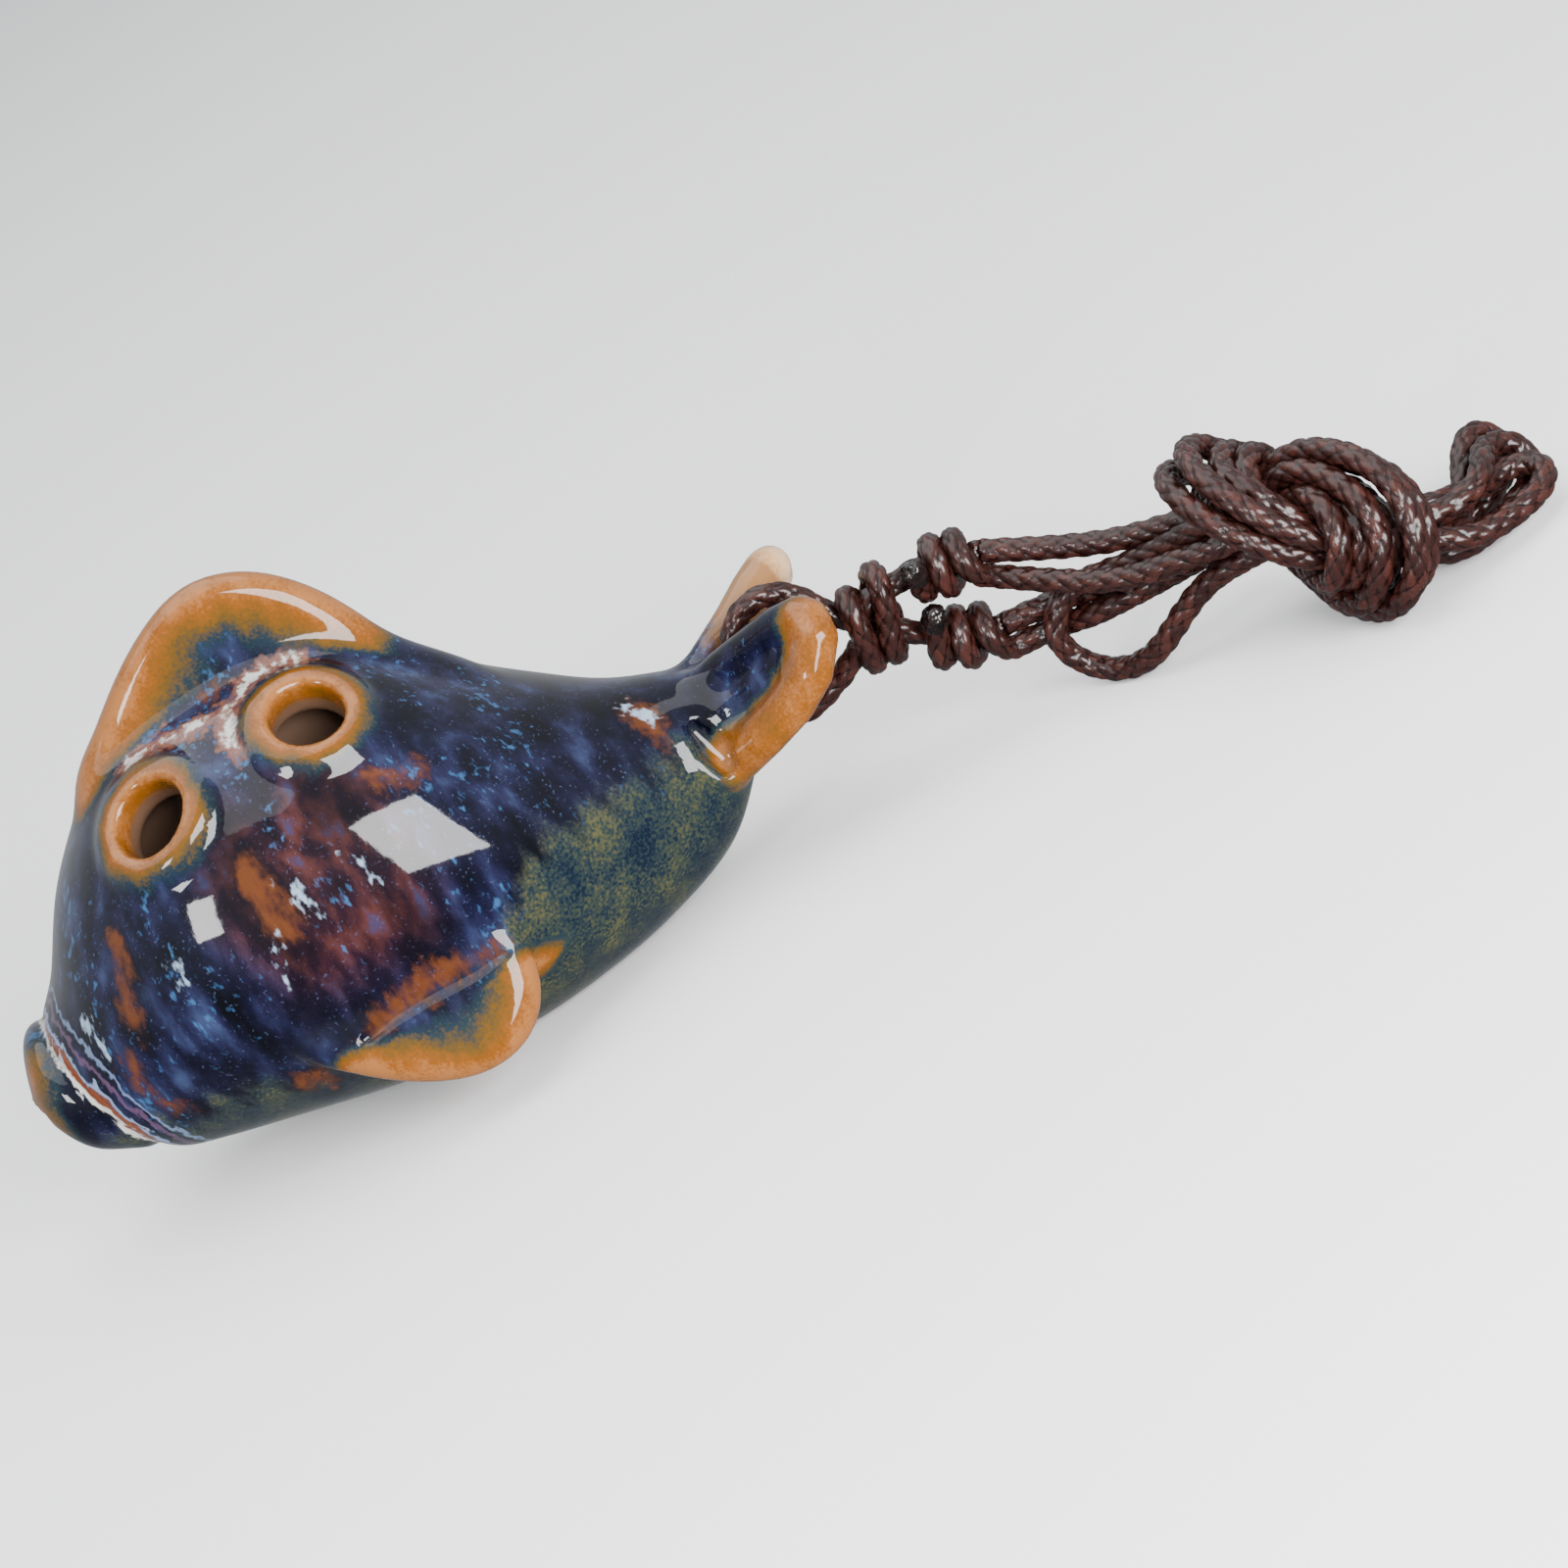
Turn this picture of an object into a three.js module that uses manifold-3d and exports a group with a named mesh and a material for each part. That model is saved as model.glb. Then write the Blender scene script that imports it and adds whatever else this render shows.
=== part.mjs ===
// A dolphin-shaped six-hole ceramic ocarina with a braided waxed-cotton lanyard.
// Millimetres. X runs from the beak (-X) to the tail (+X), Y to the dolphin's right, Z up.
// The origin is on the surface that the belly stands on, under the middle of the ceramic body.
// The ceramic is a set of clay pieces that slip and glaze fuse in the kiln, so each piece keeps a thin luting gap.
import * as THREE from "three";
import { mergeVertices } from "three/addons/utils/BufferGeometryUtils.js";
import Module from "manifold-3d";

const wasm = await Module();
wasm.setup();

// ---------------------------------------------------------------- driving dimensions

const GAP = 0.3; // luting gap between neighbouring clay pieces, and between cord pieces
const WALL = 4.6; // thickness of the vessel's wall
const SEAM_Z = 27.0; // height of the seam between back shell and belly shell
const MOUTH_X = -40.0; // seam between the mouthpiece and the vessel
const TAIL_X = 31.8; // seam between the vessel and the tail stock

// Body sections: x, height of the centre, half height, half width.
const STATIONS = [
  [-55.0, 21.0, 4.6, 7.0],
  [-52.6, 20.9, 7.4, 9.6],
  [-49.0, 20.2, 9.3, 11.2],
  [-44.6, 21.4, 12.8, 14.0],
  [-40.3, 23.5, 16.8, 17.2],
  [-35.0, 25.5, 20.4, 20.2],
  [-29.0, 27.2, 23.6, 22.8],
  [-22.0, 27.6, 25.8, 24.8],
  [-14.0, 27.0, 27.0, 25.8],
  [-7.0, 26.6, 27.4, 26.0],
  [0.0, 25.4, 27.0, 25.6],
  [6.0, 23.5, 25.0, 24.4],
  [12.0, 20.8, 21.8, 22.0],
  [17.0, 18.6, 19.0, 19.4],
  [22.0, 17.0, 16.4, 16.6],
  [28.0, 15.6, 13.3, 13.2],
  [33.6, 15.8, 10.4, 10.6],
  [38.4, 17.4, 7.0, 8.8],
  [43.0, 19.4, 4.2, 8.4],
  [47.6, 20.6, 2.9, 7.4],
  [50.6, 21.4, 1.5, 5.2],
];
const RING_STEPS = 36; // facets round a body section
const BODY_RINGS = 32; // sections along the body
const CHAMBER = { from: -37.0, to: 27.0, rings: 14, steps: 24 };

// Playing holes: x, angle round the section from straight up, bore tilt to the side and along the body, radius.
const FINGER_HOLES = [
  { x: -23.2, around: 37, side: 31, along: -16, radius: 4.6 },
  { x: -1.9, around: 33, side: 33, along: 14, radius: 4.3 },
];
const COLLAR = { width: 2.6, proud: 0.8 }; // the ring of clay round each finger hole, and its height above the skin
const THUMB_HOLE = { x: -8.0, around: 142, side: 146, along: 0, radius: 4.2 };

// The windway runs from the beak's tip down to the sound window under the chin.
const WINDWAY = {
  start: [-55.5, 20.4],
  end: [-36.8, 10.2],
  startSize: [12.0, 2.6],
  endSize: [10.0, 1.6],
};
const WINDOW = { from: -37.0, to: -31.4, width: 10.0, top: 21.0 };
const LABIUM = { edge: [-31.4, 7.4], rampEnd: [-21.0, 1.4], inner: [-24.0, 10.2] };

// Fins are blades: [distance out from the root, edge ahead, edge behind, thickness, sweep off the straight].
const DORSAL = [
  [40.0, -31.0, 15.0, 6.4, 0],
  [46.0, -31.0, 10.9, 6.4, 0],
  [51.0, -30.2, 8.6, 6.2, 0],
  [55.4, -25.4, 6.5, 6.0, 0],
  [60.0, -19.2, 3.2, 5.6, 0],
  [62.8, -14.6, 0.2, 5.0, 0],
  [64.4, -10.8, -2.6, 3.8, 0],
  [65.2, -8.4, -4.6, 1.6, 0],
];
const PECTORAL = {
  hip: [0, 21.5, 17.5], // a point of the line where the fin leaves the body
  splay: 27, // degrees that the fin leans out from hanging straight down
  blade: [
    [-4.0, -24.0, 5.8, 5.8, 0],
    [0.0, -23.6, 5.8, 5.8, 0],
    [4.8, -19.5, 5.4, 5.6, 0],
    [9.2, -14.0, 3.6, 5.0, 0],
    [12.2, -9.0, 0.6, 3.8, 0],
    [13.4, -6.0, -2.2, 1.6, 0],
  ],
};
const FLUKE = {
  root: [36.0, 4.5, 18.5],
  tip: [52.5, 12.8, 26.6],
  droop: -50, // degrees from level that the outer edge hangs below the inner one
  blade: [
    [-2.0, -5.6, 6.2, 8.0, 0],
    [5.5, -5.8, 7.7, 7.6, 0],
    [11.6, -4.8, 8.5, 7.2, 0],
    [17.4, -3.9, 7.8, 6.6, 0],
    [20.8, -3.2, 5.8, 5.4, 0],
    [23.0, -1.8, 3.2, 3.4, 0],
    [23.9, -0.6, 1.6, 1.4, 0],
  ],
};
const BLADE = { rings: 11, steps: 18, squareness: 0.72 };
const CORD_HOLE = { x: 43.0, radius: 2.6 }; // the eye through the web between the flukes

// The lanyard: a braided cord through the eye, three knots, six strands side by side and one big overhand knot.
const CORD = { diameter: 2.8, sides: 8, steps: 40 };
const TAIL_LOOP = [
  [57.6, -1.6, 19.3],
  [54.9, -1.0, 22.5],
  [53.5, -0.5, 24.8],
  [51.4, -0.1, 26.9],
  [48.6, 0, 27.8],
  [45.6, 0, 26.9],
  [43.6, 0, 24.6],
  [42.9, 0, 21.8],
  [42.9, 0, 18.6],
  [43.5, -0.1, 15.6],
  [45.2, -0.2, 13.4],
  [47.7, -0.4, 12.7],
  [50.4, -0.6, 13.4],
  [53.2, -1.0, 14.6],
  [56.4, -1.7, 16.6],
];
const KNOTS = {
  lanyard_loop_knot: { at: [59.7, -2.0, 19.4], half: [3.5, 4.6, 6.2], yaw: -10, pitch: 32 },
  lanyard_upper_slide_knot: { at: [69.5, -3.5, 20.8], half: [5.0, 4.4, 4.2], yaw: -24, pitch: 10 },
  lanyard_lower_slide_knot: { at: [67.7, -3.5, 11.4], half: [4.6, 4.4, 4.2], yaw: -24, pitch: 10 },
  lanyard_overhand_knot: { at: [105.2, -33.0, 11.4], half: [17.5, 11.0, 10.8], yaw: -28, pitch: 14 },
};
const STRANDS = [
  [71.6, -4.4, 15.4, 4.0, 6.0],
  [77.0, -7.3, 12.9, 4.0, 6.2],
  [83.0, -12.0, 12.9, 4.0, 6.4],
  [88.5, -16.5, 13.9, 4.2, 6.0],
  [95.0, -22.6, 14.9, 4.6, 5.6],
];
const END_BIGHTS = [
  [115.5, -35.8, 8.0, 5.0, 4.4],
  [122.0, -34.0, 6.6, 5.6, 4.8],
  [128.5, -30.5, 6.0, 6.4, 5.0],
  [133.5, -28.6, 5.4, 5.2, 4.0],
];

const COLOURS = {
  glaze: [0x2a2c4a, 0.12, 0.0],
  cord: [0x3d1d17, 0.45, 0.0],
};

// ---------------------------------------------------------------- solids from three.js geometry

// A closed geometry as a manifold-3d solid.
function solid(geometry) {
  const bare = new THREE.BufferGeometry();
  bare.setAttribute("position", geometry.getAttribute("position"));
  if (geometry.index) bare.setIndex(geometry.index);
  const merged = mergeVertices(bare, 1e-4);
  return new wasm.Manifold(
    new wasm.Mesh({
      numProp: 3,
      vertProperties: new Float32Array(merged.attributes.position.array),
      triVerts: new Uint32Array(merged.index.array),
    }),
  );
}

// A manifold-3d solid as a geometry.
function geometryOf(body) {
  const mesh = body.getMesh();
  const geometry = new THREE.BufferGeometry();
  geometry.setAttribute("position", new THREE.BufferAttribute(mesh.vertProperties, 3));
  geometry.setIndex(new THREE.BufferAttribute(mesh.triVerts, 1));
  geometry.computeVertexNormals();
  return geometry;
}

// A closed skin through rings of points that run round +X, with a flat fan over each end.
function loft(rings) {
  const steps = rings[0].length;
  const points = rings.flat();
  const faces = [];
  for (let i = 0; i + 1 < rings.length; i++) {
    for (let j = 0; j < steps; j++) {
      const a = i * steps + j;
      const b = i * steps + ((j + 1) % steps);
      faces.push(a, b, a + steps, b, b + steps, a + steps);
    }
  }
  for (const [start, flip] of [
    [0, true],
    [(rings.length - 1) * steps, false],
  ]) {
    const middle = new THREE.Vector3();
    for (let j = 0; j < steps; j++) middle.addScaledVector(points[start + j], 1 / steps);
    const hub = points.push(middle) - 1;
    for (let j = 0; j < steps; j++) {
      const a = start + j;
      const b = start + ((j + 1) % steps);
      faces.push(...(flip ? [b, a, hub] : [a, b, hub]));
    }
  }
  const geometry = new THREE.BufferGeometry().setFromPoints(points);
  geometry.setIndex(faces);
  const body = solid(geometry);
  if (body.volume() > 0) return body;
  for (let i = 0; i < faces.length; i += 3) faces.splice(i + 1, 2, faces[i + 2], faces[i + 1]);
  geometry.setIndex(faces);
  return solid(geometry);
}

// A box between two corners.
function box(low, high) {
  const size = high.map((value, i) => value - low[i]);
  const middle = high.map((value, i) => (value + low[i]) / 2);
  return solid(new THREE.BoxGeometry(...size).translate(...middle));
}

const FAR = 200; // reach of the boxes that cut the ceramic apart

function above(z) {
  return box([-FAR, -FAR, z], [FAR, FAR, FAR]);
}

// A cylinder with its middle at a point, along a direction.
function rod(middle, direction, radius, length, steps = 20) {
  const geometry = new THREE.CylinderGeometry(radius, radius, length, steps);
  const turn = new THREE.Quaternion().setFromUnitVectors(
    new THREE.Vector3(0, 1, 0),
    direction.clone().normalize(),
  );
  geometry.applyQuaternion(turn);
  geometry.translate(middle.x, middle.y, middle.z);
  return solid(geometry);
}

// A rounded blade: X runs from the edge ahead to the edge behind, Y is its thickness, Z runs out from the root.
function blade(sections) {
  const shape = new THREE.CubicInterpolant(
    sections.map(([out]) => out),
    sections.flatMap(([, ...section]) => section),
    4,
  );
  const { rings, steps, squareness } = BLADE;
  const power = (value) => Math.sign(value) * Math.abs(value) ** squareness;
  const [first, last] = [sections[0][0], sections.at(-1)[0]];
  return Array.from({ length: rings }, (_, i) => {
    const out = first + (last - first) * Math.sin((Math.PI / 2) * (i / (rings - 1)));
    const [ahead, behind, thickness, sweep] = shape.evaluate(out);
    return Array.from({ length: steps }, (_, j) => {
      const angle = (2 * Math.PI * j) / steps;
      return new THREE.Vector3(
        (ahead + behind) / 2 + (power(Math.cos(angle)) * (behind - ahead)) / 2,
        sweep + (power(Math.sin(angle)) * thickness) / 2,
        out,
      );
    });
  });
}

// The blade as a solid, after a change of place.
function placedBlade(sections, place = new THREE.Matrix4()) {
  return loft(blade(sections).map((ring) => ring.map((point) => point.applyMatrix4(place))));
}

// ---------------------------------------------------------------- the vessel

const stationX = STATIONS.map(([x]) => x);
const sections = new THREE.CubicInterpolant(
  stationX,
  STATIONS.flatMap(([, ...section]) => section),
  3,
);

// Centre height, half height and half width of the body at x.
function sectionAt(x) {
  const [centre, height, width] = sections.evaluate(x);
  return { centre, height, width };
}

function sectionRing(x, height, width, centre, steps) {
  return Array.from({ length: steps }, (_, j) => {
    const angle = (2 * Math.PI * j) / steps;
    return new THREE.Vector3(x, width * Math.sin(angle), centre + height * Math.cos(angle));
  });
}

// The body's outside, grown by a clearance.
function bodySkin(grow = 0) {
  const [first, last] = [stationX[0], stationX.at(-1)];
  const rings = Array.from({ length: BODY_RINGS }, (_, i) => {
    const x = THREE.MathUtils.lerp(first, last, i / (BODY_RINGS - 1));
    const { centre, height, width } = sectionAt(x);
    return sectionRing(x, height + grow, width + grow, centre, RING_STEPS);
  });
  return loft(rings);
}

// The air chamber: the body's own shape, one wall smaller, with rounded ends.
function chamber() {
  const { from, to, rings, steps } = CHAMBER;
  const made = Array.from({ length: rings }, (_, i) => {
    const across = -Math.cos((Math.PI * (i + 0.5)) / rings);
    const x = (from + to) / 2 + (across * (to - from)) / 2;
    const round = Math.sqrt(1 - Math.abs(across) ** 5);
    const { centre, height, width } = sectionAt(x);
    return sectionRing(x, (height - WALL) * round, (width - WALL) * round, centre, steps);
  });
  return loft(made);
}

// A bore through the wall, square to its own tilted axis. side is -1 for the dolphin's left.
function playingHole({ x, around, side: tilt, along, radius }, side, grow = 0) {
  const { centre, height, width } = sectionAt(x);
  const angle = THREE.MathUtils.degToRad(around);
  const lean = THREE.MathUtils.degToRad(tilt);
  const slant = THREE.MathUtils.degToRad(along);
  const mouth = new THREE.Vector3(
    x,
    side * width * Math.sin(angle),
    centre + height * Math.cos(angle),
  );
  const direction = new THREE.Vector3(
    Math.sin(slant),
    side * Math.sin(lean) * Math.cos(slant),
    Math.cos(lean) * Math.cos(slant),
  );
  return rod(mouth.addScaledVector(direction, -1), direction, radius + grow, 16);
}

// A ring of clay luted into the shell round a finger hole, a little proud of the skin.
function collar(hole, side) {
  return playingHole(hole, side, COLLAR.width)
    .intersect(bodySkin(COLLAR.proud))
    .subtract(chamber())
    .subtract(playingHole(hole, side));
}

// A four-sided ring across the windway at one end of it.
function windwayRing([x, z], [width, height], slope) {
  const up = new THREE.Vector3(-Math.sin(slope), 0, Math.cos(slope));
  return [
    [-1, -1],
    [1, -1],
    [1, 1],
    [-1, 1],
  ].map(([across, rise]) =>
    new THREE.Vector3(x, (across * width) / 2, z).addScaledVector(up, (rise * height) / 2),
  );
}

function windwaySlope() {
  const { start, end } = WINDWAY;
  return Math.atan2(end[1] - start[1], end[0] - start[0]);
}

function windway() {
  const slope = windwaySlope();
  return loft([
    windwayRing(WINDWAY.start, WINDWAY.startSize, slope),
    windwayRing(WINDWAY.end, WINDWAY.endSize, slope),
  ]);
}

// A prism across the body between three points of the XZ plane.
function prism(corners, width) {
  const outline = new THREE.Shape(corners.map(([x, z]) => new THREE.Vector2(x, z)));
  const geometry = new THREE.ExtrudeGeometry(outline, { depth: width, bevelEnabled: false });
  return solid(geometry.rotateX(Math.PI / 2).translate(0, width / 2, 0));
}

// The window under the chin and the ramps that leave the labium's sharp edge.
function voicing() {
  const { from, to, width, top } = WINDOW;
  const { edge, rampEnd, inner } = LABIUM;
  const below = [edge[0], rampEnd[1] - 4];
  return box([from, -width / 2, -1], [to, width / 2, top])
    .add(prism([edge, below, [rampEnd[0], below[1]], rampEnd], width))
    .add(prism([edge, inner, [edge[0], inner[1]]], width));
}

// The vessel and mouthpiece before they are cut into clay pieces.
function hollowBody() {
  let body = bodySkin().intersect(above(0));
  body = body.subtract(chamber()).subtract(windway()).subtract(voicing());
  for (const side of [-1, 1]) {
    for (const hole of [...FINGER_HOLES, THUMB_HOLE]) body = body.subtract(playingHole(hole, side));
  }
  return body;
}

// A slab along the windway's own slope, which parts the two jaws.
function jawSlab(from, to) {
  const slope = windwaySlope();
  const [x, z] = WINDWAY.start;
  const slab = new THREE.BoxGeometry(FAR, FAR, to - from).translate(0, 0, (from + to) / 2);
  return solid(slab.rotateY(-slope).translate(x, 0, z));
}

// ---------------------------------------------------------------- fins and flukes

function dorsalFin() {
  return placedBlade(DORSAL).subtract(bodySkin(GAP));
}

function pectoralFin(side) {
  const { blade: sections, splay, hip } = PECTORAL;
  const place = new THREE.Matrix4().makeTranslation(hip[0], side * hip[1], hip[2]);
  const hanging = THREE.MathUtils.degToRad(180 - splay);
  place.multiply(new THREE.Matrix4().makeRotationX(-side * hanging));
  return placedBlade(sections, place).subtract(bodySkin(GAP));
}

function cordEye() {
  const middle = new THREE.Vector3(CORD_HOLE.x, 0, 20);
  return rod(middle, new THREE.Vector3(0, 0, 1), CORD_HOLE.radius, 60);
}

// One fluke: a petal along the line from root to tip. The pair meets over the cord hole.
function fluke(side) {
  const root = new THREE.Vector3(...FLUKE.root);
  const along = new THREE.Vector3(...FLUKE.tip).sub(root).normalize();
  const across = new THREE.Vector3(-along.y, along.x, 0).normalize();
  across.applyAxisAngle(along, THREE.MathUtils.degToRad(FLUKE.droop));
  const through = new THREE.Vector3().crossVectors(along, across);
  const place = new THREE.Matrix4().makeBasis(across, through, along).setPosition(root);
  const petal = placedBlade(FLUKE.blade, place)
    .subtract(bodySkin(GAP))
    .subtract(box([-FAR, -FAR, -FAR], [FAR, GAP / 2, FAR]))
    .subtract(cordEye());
  return side > 0 ? petal : petal.mirror([0, 1, 0]);
}

// ---------------------------------------------------------------- lanyard

const vectors = (points) => points.map(([x, y, z]) => new THREE.Vector3(x, y, z));

function cordTube(points) {
  const { diameter, sides, steps } = CORD;
  const section = new THREE.Shape();
  for (let i = 0; i < sides; i++) {
    const angle = (2 * Math.PI * i) / sides;
    const corner = [(diameter / 2) * Math.cos(angle), (diameter / 2) * Math.sin(angle)];
    if (i === 0) section.moveTo(...corner);
    else section.lineTo(...corner);
  }
  const path = new THREE.CatmullRomCurve3(vectors(points), false, "centripetal");
  return solid(new THREE.ExtrudeGeometry(section, { steps, extrudePath: path }));
}

// The outside of a knot, grown by a clearance.
function knotShape({ at, half, yaw, pitch }, grow = 0) {
  const place = new THREE.Matrix4().makeTranslation(...at);
  place.multiply(new THREE.Matrix4().makeRotationZ(THREE.MathUtils.degToRad(yaw)));
  place.multiply(new THREE.Matrix4().makeRotationY(THREE.MathUtils.degToRad(pitch)));
  place.multiply(new THREE.Matrix4().makeScale(...half.map((size) => size + grow)));
  return solid(new THREE.SphereGeometry(1, 16, 10).applyMatrix4(place));
}

// The outside of strands that lie side by side: each section is x, y, z, half width, half height.
function bundle(sections) {
  const spine = new THREE.CatmullRomCurve3(vectors(sections));
  const rings = sections.map(([, , , width, height], i) => {
    const share = i / (sections.length - 1);
    const side = spine.getTangent(share).cross(new THREE.Vector3(0, 0, 1)).normalize();
    return Array.from({ length: 12 }, (_, j) => {
      const angle = (2 * Math.PI * j) / 12;
      const point = spine.getPoint(share).addScaledVector(side, width * Math.cos(angle));
      point.z += height * Math.sin(angle);
      return point;
    });
  });
  return loft(rings);
}

// ---------------------------------------------------------------- assembly

const ocarina = new THREE.Group();

function add(name, body, [colour, roughness, metalness] = COLOURS.glaze) {
  const material = new THREE.MeshStandardMaterial({ color: colour, roughness, metalness });
  const mesh = new THREE.Mesh(geometryOf(body), material);
  mesh.name = name;
  ocarina.add(mesh);
}

// The stretch of the ceramic between two seams across it.
function stretch(body, from, to) {
  return body.intersect(box([from + GAP / 2, -FAR, -FAR], [to - GAP / 2, FAR, FAR]));
}

const ceramic = hollowBody();
const vessel = stretch(ceramic, MOUTH_X, TAIL_X);
const beak = stretch(ceramic, -FAR, MOUTH_X);

const sides = Object.entries({ left: -1, right: 1 });
const seats = sides.flatMap(([, side]) =>
  FINGER_HOLES.map((hole) => playingHole(hole, side, COLLAR.width + GAP)),
);

add(
  "back_shell",
  seats.reduce((left, seat) => left.subtract(seat), vessel.intersect(above(SEAM_Z + GAP / 2))),
);
add("belly_shell", vessel.subtract(above(SEAM_Z - GAP / 2)));
add("beak_roof", beak.intersect(jawSlab(GAP / 2, FAR)));
add("beak_floor", beak.intersect(jawSlab(-FAR, -GAP / 2)));
add("tail_stock", stretch(ceramic, TAIL_X, FAR).subtract(cordEye()));
add("dorsal_fin", dorsalFin());
for (const [name, side] of sides) {
  add(`front_${name}_collar`, collar(FINGER_HOLES[0], side));
  add(`rear_${name}_collar`, collar(FINGER_HOLES[1], side));
  add(`${name}_pectoral_fin`, pectoralFin(side));
  add(`${name}_fluke`, fluke(side));
}

const knots = Object.entries(KNOTS);
const clearOfKnots = (body) =>
  knots.reduce((left, [, knot]) => left.subtract(knotShape(knot, GAP)), body);

for (const [name, knot] of knots) add(name, knotShape(knot), COLOURS.cord);
add("lanyard_tail_loop", clearOfKnots(cordTube(TAIL_LOOP)), COLOURS.cord);
add("lanyard_strands", clearOfKnots(bundle(STRANDS)), COLOURS.cord);
add("lanyard_end_bights", clearOfKnots(bundle(END_BIGHTS)), COLOURS.cord);

export default ocarina;
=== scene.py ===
"""A dolphin-shaped ceramic ocarina under a running blue glaze, with a knotted braided lanyard.

Clay and cord are worked out in millimetres in the row frame, which has X from the beak to the tail,
Y to the dolphin's right and Z up.
"""

import itertools
import math

import bmesh
import bpy
import numpy as np
import openvdb as vdb
from mathutils import Matrix, Vector, noise


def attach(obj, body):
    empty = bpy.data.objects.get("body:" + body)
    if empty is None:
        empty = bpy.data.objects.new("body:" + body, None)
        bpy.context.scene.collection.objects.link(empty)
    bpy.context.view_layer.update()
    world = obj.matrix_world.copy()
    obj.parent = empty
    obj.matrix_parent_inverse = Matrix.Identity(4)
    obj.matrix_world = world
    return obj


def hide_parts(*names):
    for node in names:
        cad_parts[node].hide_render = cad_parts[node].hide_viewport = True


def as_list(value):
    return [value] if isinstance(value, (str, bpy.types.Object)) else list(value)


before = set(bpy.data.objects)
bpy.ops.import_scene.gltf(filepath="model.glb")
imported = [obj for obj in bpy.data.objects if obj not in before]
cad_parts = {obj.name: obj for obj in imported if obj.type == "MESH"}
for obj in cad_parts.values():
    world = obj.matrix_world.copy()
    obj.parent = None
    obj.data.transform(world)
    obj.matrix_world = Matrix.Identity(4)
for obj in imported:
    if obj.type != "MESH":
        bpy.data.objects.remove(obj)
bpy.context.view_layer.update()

MM = 0.001


# ---------------- camera

VIEW_TARGET = (40.2, 0.0, 6.0)
VIEW_DISTANCE = 500.0
VIEW_ELEVATION = math.radians(21.0)
VIEW_ROLL = math.radians(31.3)
VIEW_WIDTH = 188.2  # millimetres across the picture at the target
SENSOR = 36.0


def add_camera():
    """Looks at the dolphin's left side from a little above, rolled so that the tail rises to the right."""
    data = bpy.data.cameras.new("camera")
    data.sensor_width = SENSOR
    data.lens = SENSOR * VIEW_DISTANCE / VIEW_WIDTH
    data.clip_start = 0.01
    data.clip_end = 20.0
    camera = bpy.data.objects.new("camera", data)
    back = Vector((0.0, -math.cos(VIEW_ELEVATION), math.sin(VIEW_ELEVATION)))
    nod = Matrix.Rotation(math.radians(90.0) - VIEW_ELEVATION, 4, "X")
    turn = nod @ Matrix.Rotation(-VIEW_ROLL, 4, "Z")
    camera.matrix_world = Matrix.Translation((Vector(VIEW_TARGET) + back * VIEW_DISTANCE) * MM) @ turn
    bpy.context.scene.collection.objects.link(camera)
    bpy.context.scene.camera = camera


# ---------------- meshes

def mesh_object(name, points, faces, material, attributes=()):
    """A smooth mesh from points in millimetres, with a float attribute for each named list of values."""
    mesh = bpy.data.meshes.new(name)
    mesh.vertices.add(len(points))
    mesh.vertices.foreach_set("co", (np.asarray(points, np.float32) * MM).ravel())
    sizes = np.array([len(face) for face in faces], np.int32)
    mesh.loops.add(int(sizes.sum()))
    mesh.loops.foreach_set("vertex_index", np.concatenate(faces).astype(np.int32))
    mesh.polygons.add(len(faces))
    mesh.polygons.foreach_set("loop_start", np.concatenate([[0], np.cumsum(sizes)[:-1]]).astype(np.int32))
    mesh.update(calc_edges=True)
    mesh.validate()
    mesh.shade_smooth()
    for label, values in dict(attributes).items():
        layer = mesh.attributes.new(label, "FLOAT", "POINT")
        layer.data.foreach_set("value", np.asarray(values, np.float32))
    mesh.materials.append(material)
    piece = bpy.data.objects.new(name, mesh)
    bpy.context.scene.collection.objects.link(piece)
    return piece


# ---------------- clay: the body's measures

# x, height of the centre, half height, half width of each section of the body.
STATIONS = (
    (-55.0, 21.0, 4.6, 7.0),
    (-52.6, 20.9, 7.4, 9.6),
    (-49.0, 20.2, 9.3, 11.2),
    (-44.6, 21.4, 12.8, 14.0),
    (-40.3, 23.5, 16.8, 17.2),
    (-35.0, 25.5, 20.4, 20.2),
    (-29.0, 27.2, 23.6, 22.8),
    (-22.0, 27.6, 25.8, 24.8),
    (-14.0, 27.0, 27.0, 25.8),
    (-7.0, 26.6, 27.4, 26.0),
    (0.0, 25.4, 27.0, 25.6),
    (6.0, 23.5, 25.0, 24.4),
    (12.0, 20.8, 21.8, 22.0),
    (17.0, 18.6, 19.0, 19.4),
    (22.0, 17.0, 16.4, 16.6),
    (28.0, 15.6, 13.3, 13.2),
    (33.6, 15.8, 10.4, 10.6),
    (38.4, 17.4, 7.0, 8.8),
    (43.0, 19.4, 4.2, 8.4),
    (47.6, 20.6, 2.9, 7.4),
    (50.6, 21.4, 1.5, 5.2),
)
WALL = 4.6
CHAMBER = (-37.0, 27.0)  # front and back of the hollow
BEAK_TIP = -55.2
TAIL_TIP = 50.6

# Playing holes of one side: x, angle round the section from straight up, tilt sideways, tilt along, radius.
HOLES = ((-23.2, 37.0, 31.0, -16.0, 4.6), (-1.9, 33.0, 33.0, 14.0, 4.3), (-8.0, 142.0, 146.0, 0.0, 4.2))
FINGER_HOLES = 2  # the first of them have a raised lip
LIP_PLACE = 1.25  # from the bore's edge out to the middle of the lip
LIP_SINK = 0.95  # of the lip's middle below the skin
LIP_RADIUS = 1.3
LIP_SPREAD = 0.75  # a lower share makes the lip broader than it is high
BORE_REACH = 9.0  # each way from the skin

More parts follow.
